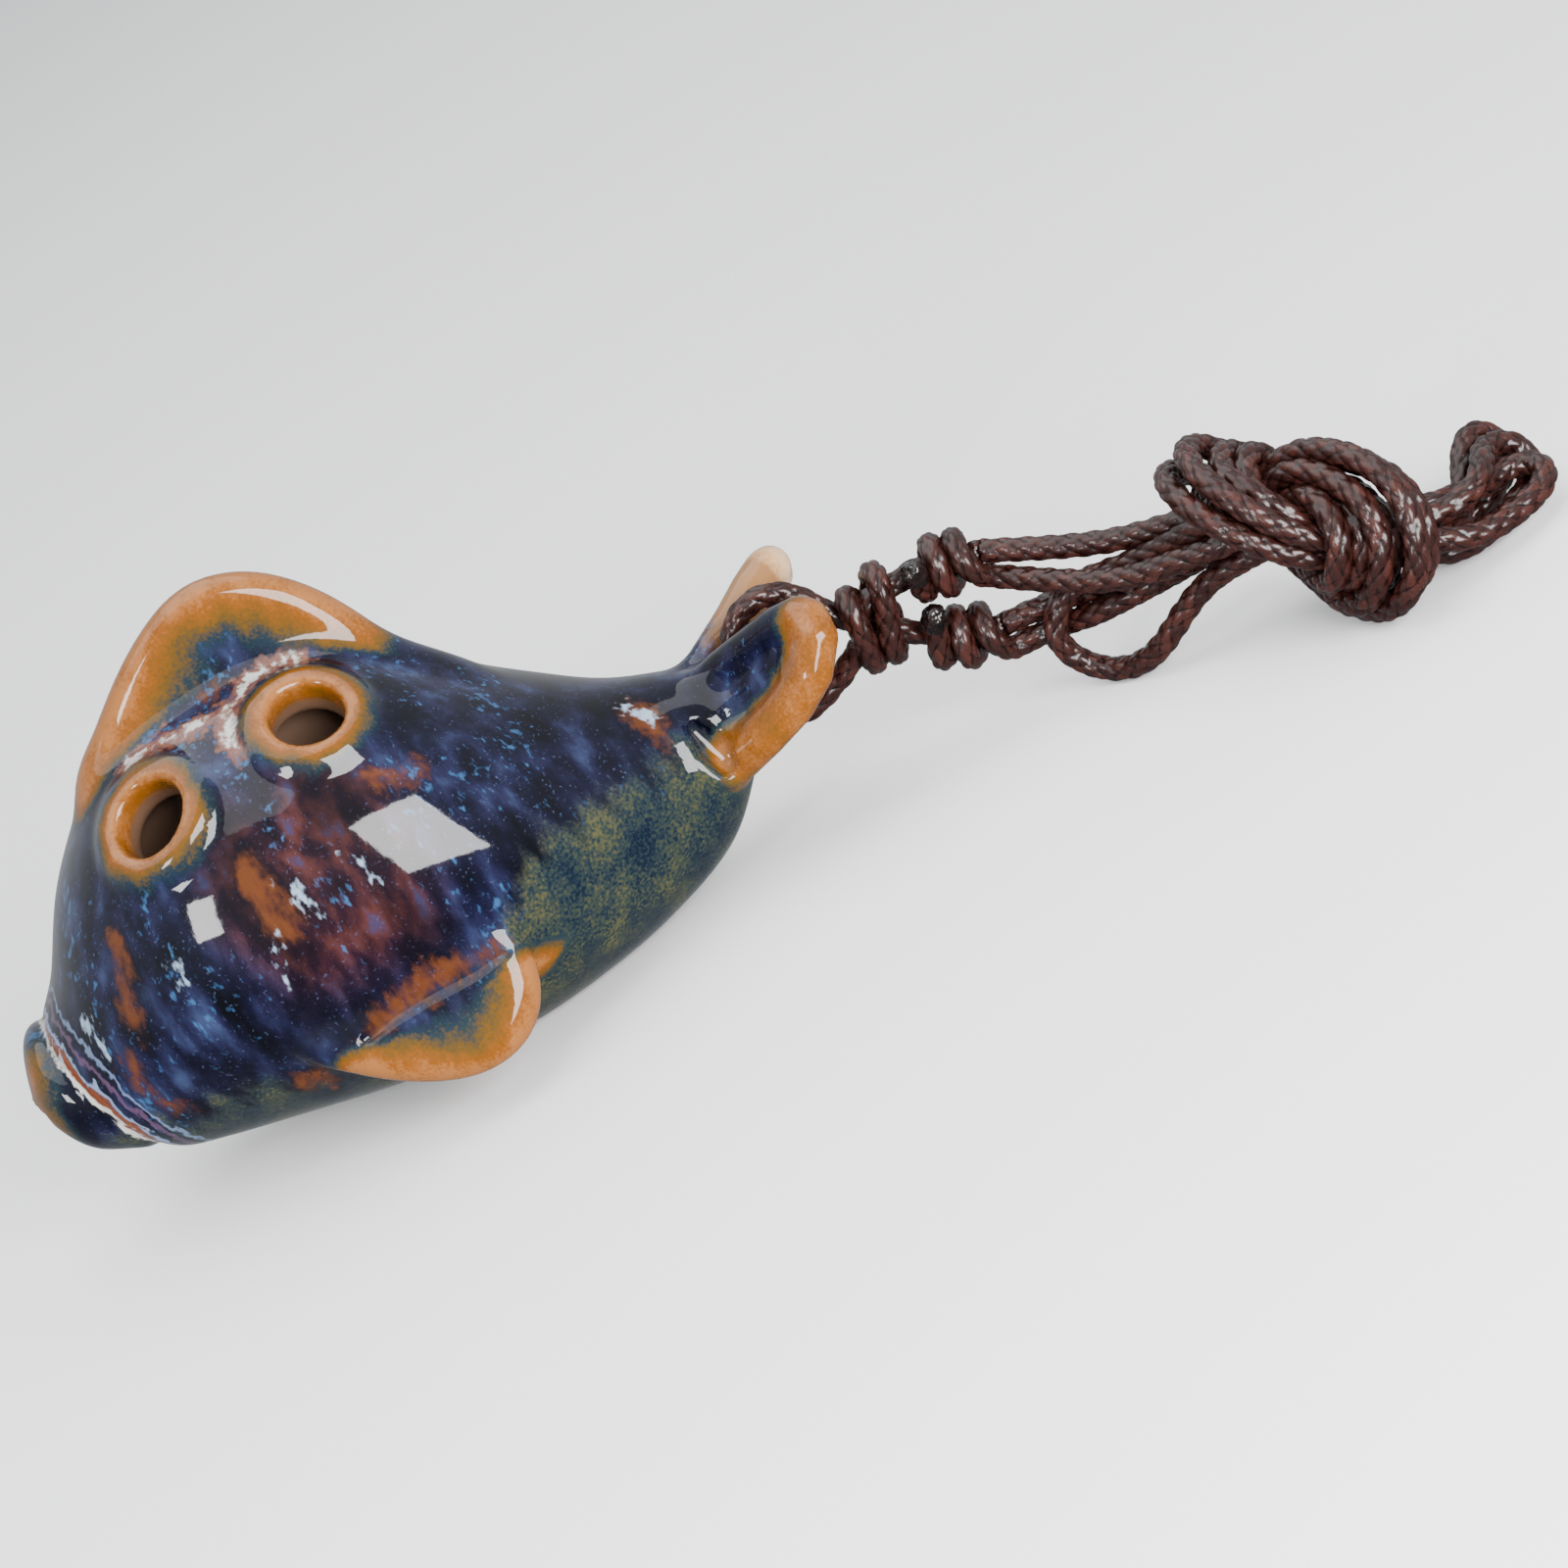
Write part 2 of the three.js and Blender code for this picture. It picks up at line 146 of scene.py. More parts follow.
WINDWAY = ((-56.5, 20.95), (-36.4, 10.0))  # x and z of its two ends
WINDWAY_SIZES = ((12.0, 2.6), (10.0, 1.6))  # width and height at each
WINDOW = (-37.0, -31.4, 10.0, 21.0)  # front, back, width, top
LABIUM_EDGE = (-31.4, 7.4)
LABIUM_RAMP = (-21.0, 1.4)
LABIUM_INNER = (-24.0, 10.2)

DORSAL_OUTLINE = (
    (-31.0, 38.0), (-30.9, 47.0), (-29.6, 51.6), (-25.4, 55.6), (-19.2, 60.2), (-14.6, 62.9), (-10.4, 64.6),
    (-6.5, 65.1), (-2.6, 64.2), (0.2, 62.7), (3.2, 60.0), (6.5, 55.4), (8.6, 51.0), (10.9, 46.0),
    (15.6, 39.0), (17.0, 34.0),
)
PECTORAL_OUTLINE = (
    (-24.0, -5.0), (-23.6, 0.0), (-21.8, 3.0), (-19.3, 5.4), (-16.4, 8.0), (-13.4, 10.2), (-9.4, 12.4),
    (-4.4, 13.6), (0.4, 12.6), (3.6, 9.9), (5.5, 5.8), (6.2, 0.0), (6.0, -5.0),
)
PECTORAL_HIP = (0.0, 21.5, 17.5)
PECTORAL_SPLAY = math.radians(27.0)

FLUKE_RIDGE = (
    (36.6, 1.8, 21.6), (41.4, 3.6, 23.4), (45.4, 5.9, 24.8), (49.0, 8.5, 26.2), (51.8, 10.9, 26.8),
)
FLUKE_RIM = (
    (36.6, 8.0, 14.8), (41.2, 11.6, 17.0), (45.6, 13.4, 18.9), (49.6, 14.7, 21.6), (52.2, 13.9, 24.7),
)
FLUKE_TIP = (52.4, 12.0, 26.4)
# The thick fold of clay and the pit where a fluke leaves the tail stock.
FOLD = ((32.2, 6.9, 23.4), (32.5, 8.8, 20.6), (33.0, 10.2, 17.2), (33.8, 10.7, 14.8), (35.2, 10.4, 13.7),
        (36.2, 9.7, 14.6))
PIT = ((34.6, 8.0, 20.6), (35.4, 9.6, 18.4), (35.9, 9.9, 16.4))
CORD_EYE = (43.0, 2.4)  # x, radius
FLUKE_GROOVE = (
    (47.2, 12.1, 24.8), (45.5, 12.1, 23.0), (43.0, 11.3, 21.6), (40.3, 9.9, 20.5), (37.9, 8.6, 20.2),
)
PECTORAL_GROOVE = (
    (-15.5, 25.6, 15.6), (-11.5, 25.8, 16.6), (-7.5, 25.8, 16.7), (-0.9, 26.0, 16.3), (3.7, 25.8, 16.4),
)
BEAK_ROOT = (-47.0, 18.75)  # x and z of a point of the slanting plane where the beak leaves the head
BEAK_SLANT = (0.965, 0.26)  # the way straight back from that plane
SWELL = (0.2, 2.6, 2.0)  # height, how far behind the plane, and width
GROOVE_DEPTH = 0.55

CELL = 0.64  # spacing of the grid on which the clay's surface is found
GRID_LOW = (-58.0, -32.0, -2.0)
GRID_HIGH = (60.0, 32.0, 68.0)


# ---------------- clay: distances

def one_side(points):
    """The points with the left side's mirrored to the right, so that y is 0 or more."""
    x, y, z = points.T
    return np.stack([x, np.abs(y), z], axis=1)


def spline_bends(places, values):
    """Second derivatives at the points of a natural cubic spline."""
    step = np.diff(places)
    rise = np.diff(values) / step
    system = np.eye(len(places))
    target = np.zeros(len(places))
    for i in range(1, len(places) - 1):
        system[i, i - 1:i + 2] = step[i - 1], 2.0 * (step[i - 1] + step[i]), step[i]
        target[i] = 6.0 * (rise[i] - rise[i - 1])
    return np.linalg.solve(system, target)


def spline_values(places, values, at):
    """The natural cubic spline through the points, read at the given places."""
    places = np.asarray(places, float)
    values = np.asarray(values, float)
    bends = spline_bends(places, values)
    i = np.clip(np.searchsorted(places, at) - 1, 0, len(places) - 2)
    step = places[i + 1] - places[i]
    left = (places[i + 1] - at) / step
    right = (at - places[i]) / step
    bend = (left**3 - left) * bends[i] + (right**3 - right) * bends[i + 1]
    return left * values[i] + right * values[i + 1] + bend * step**2 / 6.0


def run_along(points):
    """How far along a path each of its points lies."""
    return np.concatenate([[0.0], np.cumsum(np.linalg.norm(np.diff(points, axis=0), axis=1))])


def smooth_outline(corners, pieces=56):
    """A smooth open curve through the corners of a flat outline."""
    corners = np.asarray(corners, float)
    run = run_along(corners)
    at = np.linspace(0.0, run[-1], pieces)
    return np.stack([spline_values(run, corners[:, k], at) for k in range(2)], axis=1)


DORSAL_EDGE = smooth_outline(DORSAL_OUTLINE)
DORSAL_CREST = DORSAL_EDGE[DORSAL_EDGE[:, 1] > 50.0]
PECTORAL_EDGE = smooth_outline(PECTORAL_OUTLINE)
PECTORAL_RIM = PECTORAL_EDGE[PECTORAL_EDGE[:, 1] > 5.4]

PROFILE_X = np.linspace(STATIONS[0][0], STATIONS[-1][0], 1600)
PROFILE = [spline_values([s[0] for s in STATIONS], [s[k] for s in STATIONS], PROFILE_X) for k in (1, 2, 3)]
PROFILE_SLOPES = [np.gradient(values, PROFILE_X) for values in PROFILE]


def section_at(x):
    """Centre height, half height and half width of the body."""
    return [np.interp(x, PROFILE_X, values) for values in PROFILE]


def body_distance(points):
    """Signed distance from the plain body, close to exact near its surface and negative inside."""
    x, y, z = points.T
    centre, height, width = section_at(x)
    lift, rise, spread = (np.interp(x, PROFILE_X, slopes, 0.0, 0.0) for slopes in PROFILE_SLOPES)
    up = z - centre
    radius = np.maximum(np.sqrt((y / width) ** 2 + (up / height) ** 2), 1e-4)
    along = (y**2 * spread / width**3 + up * lift / height**2 + up**2 * rise / height**3) / radius
    across = np.hypot(y / width**2, up / height**2) / radius
    return (radius - 1.0) / np.hypot(along, across)


def union(a, b, softness):
    """Both shapes, with a fillet where they meet."""
    nearness = np.maximum(softness - np.abs(a - b), 0.0) / softness
    return np.minimum(a, b) - nearness**2 * softness / 4.0


def overlap(a, b, softness):
    """Only what is in both shapes, with a rounded edge."""
    return -union(-a, -b, softness)


def carve(a, b, softness):
    """The first shape less the second, with a rounded edge."""
    return -union(-a, b, softness)


def outline_distance(u, v, outline):
    """Signed distance in a plane from a closed outline, negative inside."""
    corners = np.asarray(outline, float)
    nearest = np.full(u.shape, 1e9)
    inside = np.zeros(u.shape, bool)
    for (au, av), (bu, bv) in zip(corners, np.roll(corners, -1, axis=0)):
        eu, ev = bu - au, bv - av
        share = np.clip(((u - au) * eu + (v - av) * ev) / (eu * eu + ev * ev), 0.0, 1.0)
        nearest = np.minimum(nearest, (u - au - share * eu) ** 2 + (v - av - share * ev) ** 2)
        if av != bv:
            inside ^= ((av > v) != (bv > v)) & (u < eu * (v - av) / ev + au)
    return np.where(inside, -1.0, 1.0) * np.sqrt(nearest)


def slab_distance(flat, off, half):
    """A flat shape of a given half thickness, whose edge is fully rounded."""
    inset = flat + half
    return np.where(inset > 0.0, np.hypot(np.maximum(inset, 0.0), off) - half, np.abs(off) - half)


def path_shares(points, path):
    """For each leg of a path: how far along it each point lies, and the distance from it."""
    for a, b in zip(path, path[1:]):
        a, b = np.asarray(a, float), np.asarray(b, float)
        leg = b - a
        share = np.clip((points - a) @ leg / (leg @ leg), 0.0, 1.0)
        yield share, np.linalg.norm(points - a - share[:, None] * leg, axis=1)


def roll_distance(points, path, radii):
    """A roll of clay along a path, whose radius changes evenly between the path's points."""
    nearest = np.full(len(points), 1e9)
    for (share, away), start, end in zip(path_shares(points, path), radii, radii[1:]):
        nearest = np.minimum(nearest, away - start - share * (end - start))
    return nearest


def path_distance(points, path):
    """Distance from the line itself."""
    return roll_distance(points, path, [0.0] * len(path))


# ---------------- clay: shapes of one side, where y is 0 or more

def hole_mouth(hole):
    """Where the bore's axis meets the body, and the way it points."""
    x, around, side, along, _ = hole
    centre, height, width = section_at(x)
    around, side, along = (math.radians(angle) for angle in (around, side, along))
    mouth = np.array([x, width * math.sin(around), centre + height * math.cos(around)])
    tilt = math.cos(along)
    return mouth, np.array([math.sin(along), math.sin(side) * tilt, math.cos(side) * tilt])


def bore_coordinates(points, hole):
    """Height above the hole's mouth, and distance from its axis."""
    mouth, axis = hole_mouth(hole)
    height = (points - mouth) @ axis
    return height, np.linalg.norm(points - mouth - height[:, None] * axis, axis=1)


def hole_lip(hole):
    """The soft raised collar round a finger hole, as a shape."""
    def shape(points):
        height, away = bore_coordinates(points, hole)
        return np.hypot((away - hole[4] - LIP_PLACE) * LIP_SPREAD, height + LIP_SINK) - LIP_RADIUS
    return shape


def hole_bore(hole):
    """The round bore of a playing hole, as a shape."""
    def shape(points):
        height, away = bore_coordinates(points, hole)
        return np.maximum(away - hole[4], np.abs(height) - BORE_REACH)
    return shape


def dorsal_fin(points):
    x, y, z = points.T
    half = np.interp(z, (44.0, 65.0), (3.2, 2.3))
    return slab_distance(outline_distance(x, z, DORSAL_EDGE), y, half)


def pectoral_plane(points):
    """Along the fin, down it and through it."""
    x, y, z = (points - PECTORAL_HIP).T
    down = y * math.sin(PECTORAL_SPLAY) - z * math.cos(PECTORAL_SPLAY)
    through = y * math.cos(PECTORAL_SPLAY) + z * math.sin(PECTORAL_SPLAY)
    return x, down, through


def pectoral_fin(points):
    x, down, through = pectoral_plane(points)
    half = np.interp(down, (0.0, 13.0), (3.4, 2.8))
    return slab_distance(outline_distance(x, down, PECTORAL_EDGE), through, half)


def fluke(points):
    """A leaf between a soft upper ridge and a fat rolled rim, which meet at the tip."""
    ridge, rim, tip = (np.asarray(part) for part in (FLUKE_RIDGE, FLUKE_RIM, FLUKE_TIP))
    leaf = np.full(len(points), 1e9)
    for share in np.linspace(0.0, 1.0, 17):
        ends = [[np.interp(share * 4.0, range(5), side[:, k]) for k in range(3)] for side in (ridge, rim)]
        leaf = union(leaf, roll_distance(points, ends, (2.0, 1.7)), 0.6)
    upper = roll_distance(points, [*FLUKE_RIDGE, FLUKE_TIP], (2.6, 2.6, 2.5, 2.4, 2.3, 2.3))
    outer = roll_distance(points, [*FLUKE_RIM, FLUKE_TIP], (2.9, 2.7, 2.6, 2.5, 2.5, 2.4))
    return union(union(leaf, upper, 1.5), outer, 0.7)


def roll(path, *radii):
    """A roll of clay along a path, or the hollow that it would leave, as a shape."""
    return lambda points: roll_distance(points, path, radii)


def cord_eye(points):
    return np.hypot(points[:, 0] - CORD_EYE[0], points[:, 1]) - CORD_EYE[1]


def windway(points):
    """The flat slot from the mouth to the sound window, which narrows on its way."""
    start, end = (np.asarray(point) for point in WINDWAY)
    length = np.linalg.norm(end - start)
    along = (end - start) / length
    x, y, z = points.T
    run = (x - start[0]) * along[0] + (z - start[1]) * along[1]
    off = -(x - start[0]) * along[1] + (z - start[1]) * along[0]
    share = np.clip(run / length, 0.0, 1.0)
    (wide_in, high_in), (wide_out, high_out) = WINDWAY_SIZES
    sides = y - (wide_in + share * (wide_out - wide_in)) / 2.0
    faces = np.abs(off) - (high_in + share * (high_out - high_in)) / 2.0
    ends = np.abs(run - length / 2.0) - length / 2.0
    return np.maximum(np.maximum(sides, faces), ends)


def window(points):
    x, y, z = points.T
    start, end, width, top = WINDOW
    return np.maximum(np.maximum(np.maximum(start - x, x - end), y - width / 2.0), z - top)


def below_line(points, a, b):
    """Signed distance from the plane through two points of the middle section, negative below it."""
    length = math.hypot(b[0] - a[0], b[1] - a[1])
    x, _, z = points.T
    return ((b[0] - a[0]) * (z - a[1]) - (b[1] - a[1]) * (x - a[0])) / length


def labium_ramp(points):
    outside = np.maximum(LABIUM_EDGE[0] - points[:, 0], points[:, 1] - WINDOW[2] / 2.0)
    return np.maximum(outside, below_line(points, LABIUM_EDGE, LABIUM_RAMP))


def labium_wedge(points):
    """Negative clear of the wedge of clay that rises inside the vessel behind the labium's edge."""
    inside = np.minimum(points[:, 0] - LABIUM_EDGE[0] + 1.0, LABIUM_INNER[0] - points[:, 0])
    return np.minimum(inside, -below_line(points, LABIUM_EDGE, LABIUM_INNER))


# Low corner, high corner, shape, how it joins, softness of the join.
SIDE_SHAPES = [
    ((-36, -1, 32), (22, 8, 70), dorsal_fin, union, 3.4),
    ((-30, 12, -4), (12, 34, 30), pectoral_fin, union, 1.1),
    ((30, -1, 8), (60, 22, 34), fluke, union, 1.6),
    ((28, 3, 9), (41, 14, 28), roll(FOLD, 0.5, 0.9, 1.0, 1.0, 0.9, 0.8), union, 0.7),
    ((28, 3, 9), (41, 14, 28), roll(PIT, 0.9, 1.7, 1.5), carve, 1.2),
    ((34, 4, 16), (52, 17, 30), roll(FLUKE_GROOVE, 0.4, 0.8, 0.95, 0.95, 0.5), carve, 0.9),
    ((-20, 20, 10), (8, 30, 22), roll(PECTORAL_GROOVE, 0.3, 0.7, 0.8, 0.8, 0.3), carve, 0.9),
    ((36, -1, -2), (50, 6, 40), cord_eye, carve, 1.2),
]
for drilled, shape, join, softness, reach in (
    (HOLES[:FINGER_HOLES], hole_lip, union, 2.0, 11.0),
    (HOLES, hole_bore, carve, 1.0, 14.0),
):
    for hole in drilled:
        centre = hole_mouth(hole)[0]
        SIDE_SHAPES.append((tuple(centre - reach), tuple(centre + reach), shape(hole), join, softness))
SIDE_SHAPES += [
    ((-60, -1, 5), (-34, 9, 26), windway, carve, 0.3),
    ((-40, -1, -3), (-28, 8, 24), window, carve, 0.3),
    ((-34, -1, -3), (-14, 8, 12), labium_ramp, carve, 0.3),
]


def behind_beak(points):
    """Distance behind the slanting plane where the beak leaves the head."""
    return BEAK_SLANT[0] * (points[:, 0] - BEAK_ROOT[0]) + BEAK_SLANT[1] * (points[:, 2] - BEAK_ROOT[1])


def crease(points):
    """Height of the clay's swell and groove where the beak leaves the head."""
    back = behind_beak(points)
    height, place, width = SWELL
    return height * np.exp(-(((back - place) / width) ** 2)) - GROOVE_DEPTH * np.exp(-(back**2))


def clay_distance(points):
    """Signed distance from all of the clay."""
    points = one_side(points)
    body = body_distance(points)
    clay = overlap(body - crease(points), BEAK_TIP - points[:, 0], 5.0)
    clay = np.maximum(clay, points[:, 0] - TAIL_TIP)
    hollow = overlap(body + WALL, np.maximum(CHAMBER[0] - points[:, 0], points[:, 0] - CHAMBER[1]), 6.0)
    hollow = np.maximum(hollow, labium_wedge(points))
    clay = carve(clay, hollow, 0.8)
    for low, high, shape, join, softness in SIDE_SHAPES:
        near = np.all((points > low) & (points < high), axis=1)
        clay[near] = join(clay[near], shape(points[near]), softness)
    return overlap(clay, -points[:, 2], 0.8)


# ---------------- clay: surface

def grid_distances():
    """The clay's distance on a regular grid."""
    axes = [np.arange(low, high, CELL) for low, high in zip(GRID_LOW, GRID_HIGH)]
    layers = []
    for x in axes[0]:
        y, z = np.meshgrid(axes[1], axes[2], indexing="ij")
        layer = np.stack([np.full(y.size, x), y.ravel(), z.ravel()], axis=1)
        layers.append(clay_distance(layer).reshape(y.shape))
    return np.array(layers, np.float32)


def distance_slope(points, step=0.05):
    """The gradient of the clay's distance."""
    slopes = []
    for axis in range(3):
        nudge = np.zeros(3)
        nudge[axis] = step
        slopes.append((clay_distance(points + nudge) - clay_distance(points - nudge)) / (2.0 * step))
    return np.stack(slopes, axis=1)


def clay_surface():
    """Points and four-sided faces of the whole clay body, inside and out."""
    grid = vdb.FloatGrid(background=5.0)
    grid.copyFromArray(grid_distances())
    points, faces = grid.convertToQuads(isovalue=0.0)
    points = np.asarray(points, float) * CELL + GRID_LOW
    for _ in range(3):
        slope = distance_slope(points)
        steep = np.maximum((slope**2).sum(axis=1), 0.2)
        move = clay_distance(points) / steep
        points = points - np.clip(move, -0.2, 0.2)[:, None] * slope
    return points, np.asarray(faces)


# ---------------- cord: lay

CORD = 2.8  # diameter
CORD_STEP = 1.4  # spacing of the points that the cord is worked out on

TAIL_LOOP = (
    (57.6, -1.6, 19.3), (54.9, -1.0, 22.5), (53.5, -0.5, 24.8), (51.4, -0.1, 26.9), (48.6, 0.0, 27.8),
    (45.6, 0.0, 26.9), (43.6, 0.0, 24.6), (42.9, 0.0, 21.8), (42.9, 0.0, 18.6), (43.5, -0.1, 15.6),
    (45.2, -0.2, 13.4), (47.7, -0.4, 12.7), (50.4, -0.6, 13.4), (53.2, -1.0, 14.6), (56.4, -1.7, 16.6),
)

# The overhand knot: its middle, the way the lanyard runs through it, and its roll about that way.
KNOT_MIDDLE = (105.4, -32.1, 12.2)
KNOT_YAW = math.radians(-28.0)
KNOT_PITCH = math.radians(14.0)
KNOT_ROLL = math.radians(211.0)
ROPE_WIDTH = 10.6  # the six strands taken as one rope
ROPE_REACH = 26.0  # from the knot's middle to each end of the rope
ROPE_STEP = 1.6
KNOT_HALF = 21.0  # the strands are cut off this far from the knot's middle
KNOT_STRETCH = (1.38, 1.0, 1.0)  # the loops lie looser along the lanyard than across it
STRAND_PLACES = [(side * 1.6, place * 3.2) for side in (-1, 1) for place in (-1, 0, 1)]

# Where the strands start: two at the upper slide knot, two at the lower, then the legs of the slack turn.
FAN = (
    (74.4, -5.5, 20.2), (73.6, -5.6, 17.2), (72.6, -5.6, 10.9), (71.9, -5.6, 7.8),
    (84.0, -13.4, 13.0), (86.0, -19.4, 3.6),
)
SLACK = (
    (86.0, -19.4, 3.6), (83.0, -15.6, 1.9), (80.2, -12.6, 1.7), (78.0, -10.4, 3.6), (77.4, -9.3, 7.4),
    (79.4, -9.8, 11.2), (84.0, -13.4, 13.0),
)
SLACK_SKIP = 4  # points by which the slack turn's strand leaves the knot later than the others
# Each end bight: the middle of its round tip, the way it points, and the way from one leg to the other.
BIGHTS = (
    ((128.6, -25.6, 6.4), (0.74, 0.62, 0.05), (-0.35, 0.45, 0.82)),
    ((129.6, -29.0, 4.6), (0.86, 0.45, -0.1), (-0.2, 0.6, 0.77)),
    ((129.4, -33.6, 4.5), (0.95, 0.25, -0.1), (-0.25, 0.85, 0.3)),
)
BIGHT_RADIUS = 3.0


def even_points(path, spacing):
    """Points evenly spaced along a path."""
    path = np.asarray(path, float)
    run = run_along(path)
    count = max(int(round(run[-1] / spacing)), 2)
    at = np.linspace(0.0, run[-1], count + 1)
    return np.stack([np.interp(at, run, path[:, k]) for k in range(3)], axis=1)


def smooth_path(points, spacing=0.35):
    """A smooth curve through the points, evenly spaced."""
    points = np.asarray(points, float)
    run = run_along(points)
    at = np.linspace(0.0, run[-1], int(run[-1] / spacing) * 2)
    return even_points(np.stack([spline_values(run, points[:, k], at) for k in range(3)], axis=1), spacing)


def push_apart(points, chain, width, apart, free):
    """Moves points that are nearer than the cord's width straight apart."""
    squares = (points**2).sum(axis=1)
    gaps = squares[:, None] + squares[None] - 2.0 * points @ points.T
    a, b = np.nonzero(np.triu(gaps < width**2, 1))
    touching = (chain[a] != chain[b]) | (b - a >= apart)
    a, b = a[touching], b[touching]
    line = points[a] - points[b]
    away = np.maximum(np.linalg.norm(line, axis=1), 1e-6)
    move = line * ((width - away) / away / 2.0)[:, None]
    total = np.zeros_like(points)
    count = np.zeros(len(points))
    np.add.at(total, a, move)
    np.add.at(total, b, -move)
    np.add.at(count, a, 1)
    np.add.at(count, b, 1)
    share = np.minimum(count, 1.7) / np.maximum(count, 1.0) * free
    points += total * share[:, None]


def joined(strands):
    """The points of all strands, the strand of each, where each strand starts, and 0 at the fixed ends."""
    points = np.concatenate(strands)
    chain = np.repeat(np.arange(len(strands)), [len(strand) for strand in strands])
    starts = np.cumsum([0] + [len(strand) for strand in strands])
    free = np.ones(len(points))
    free[starts[:-1]] = 0.0
    free[starts[1:] - 1] = 0.0
    return points, chain, starts, free


def parted(points, starts):
    return [points[start:end] for start, end in zip(starts, starts[1:])]


def straighten(points, pull, free):
    """Moves each free point a share of the way to the middle of its neighbours, or away from it."""
    bend = np.zeros_like(points)
    bend[1:-1] = points[:-2] + points[2:] - 2.0 * points[1:-1]
    points += bend * (pull / 2.0 * free)[:, None]


def tighten(strands, width, steps, pull, spacing, apart, floor=-1e9):
    """Draws strands tight between their fixed ends until they bear on each other."""
    for step in range(steps):
        points, chain, starts, free = joined(strands)
        straighten(points, pull, free)
        for _ in range(2):
            push_apart(points, chain, width, apart, free)
        points[:, 2] = np.where(free > 0.0, np.maximum(points[:, 2], floor), points[:, 2])
        strands = parted(points, starts)
        if step % 10 == 9:
            strands = [even_points(strand, spacing) for strand in strands]
    return strands


def rope_knot():
    """The middle line of one thick rope tied in an overhand knot along X."""
    t = np.linspace(-2.05, 2.05, 400)
    tied = np.stack([t**3 - 3.0 * t, t**4 - 4.0 * t**2, (t**5 - 10.0 * t) * 0.35], axis=1) * 9.0
    along = tied[-1] - tied[0]
    along /= np.linalg.norm(along)
    up = np.array([0.0, 1.0, 0.0]) - along * along[1]
    up /= np.linalg.norm(up)
    tied = (tied - (tied[0] + tied[-1]) / 2.0) @ np.stack([along, up, np.cross(along, up)], axis=1)
    end = np.array([[ROPE_REACH, 0.0, 0.0]])
    path = even_points(np.concatenate([-end, tied, end]), ROPE_STEP)
    rope, = tighten([path], ROPE_WIDTH, 2500, 0.35, ROPE_STEP, math.ceil(ROPE_WIDTH * 1.5 / ROPE_STEP))
    return np.concatenate([-end * 1.4, rope, end * 1.4])


def travelling_frame(path):
    """At each point of a path: its direction, and two sides that turn as little as they can."""
    along = np.gradient(path, axis=0)
    along /= np.linalg.norm(along, axis=1)[:, None]
    side = np.cross(along[0], (0.0, 0.1, 1.0))
    sides = []
    for direction in along:
        side = side - direction * (side @ direction)
        side = side / np.linalg.norm(side)
        sides.append(side)
    sides = np.array(sides)
    return along, sides, np.cross(along, sides)


def turned_axes(yaw, pitch):
    """The row frame's axes turned left by the yaw and then nodded down by the pitch."""
    return np.array(Matrix.Rotation(yaw, 3, "Z") @ Matrix.Rotation(pitch, 3, "Y")).T


def knot_strands():
    """The six strands of the overhand knot, in the row frame, cut off just outside it."""
    rope = rope_knot()
    _, side, out = travelling_frame(rope)
    strands = [even_points((rope + a * side + b * out) * KNOT_STRETCH, CORD_STEP) for a, b in STRAND_PLACES]
    strands = tighten(strands, CORD, 120, 0.35, CORD_STEP, 5)
    inner = np.concatenate(strands)
    inner = inner[np.abs(inner[:, 0]) < KNOT_HALF]
    middle = (inner.min(axis=0) + inner.max(axis=0)) / 2.0
    along, left, up = turned_axes(KNOT_YAW, KNOT_PITCH)
    axes = np.stack([
        along,
        up * math.cos(KNOT_ROLL) - left * math.sin(KNOT_ROLL),
        -up * math.sin(KNOT_ROLL) - left * math.cos(KNOT_ROLL),
    ])
    cut = []
    for strand in strands:
        near = np.nonzero(np.abs(strand[:, 0]) < KNOT_HALF)[0]
        cut.append((strand[near[0]:near[-1] + 1] - middle) @ axes + KNOT_MIDDLE)
    return cut


def bight_legs(bight):
    """Where the two legs of an end bight meet its round tip."""
    middle, _, across = (np.asarray(part) for part in bight)
    across = across / np.linalg.norm(across)
    return middle + across * BIGHT_RADIUS, middle - across * BIGHT_RADIUS


def bight_tip(bight, start, end):
    """The round end between two legs."""
    middle, ahead, _ = (np.asarray(part) for part in bight)
    across = (start - end) / np.linalg.norm(start - end)
    ahead = ahead - across * (ahead @ across)
    ahead = ahead / np.linalg.norm(ahead)
    angles = np.linspace(0.0, math.pi, 8)[1:-1, None]
    return middle + BIGHT_RADIUS * (across * np.cos(angles) + ahead * np.sin(angles))


def nearest_order(orders, points, places):
    """The order in which the points lie nearest to the places, one for one."""
    return min(orders, key=lambda picks: sum(
        np.linalg.norm(points[pick] - place) for pick, place in zip(picks, places)))


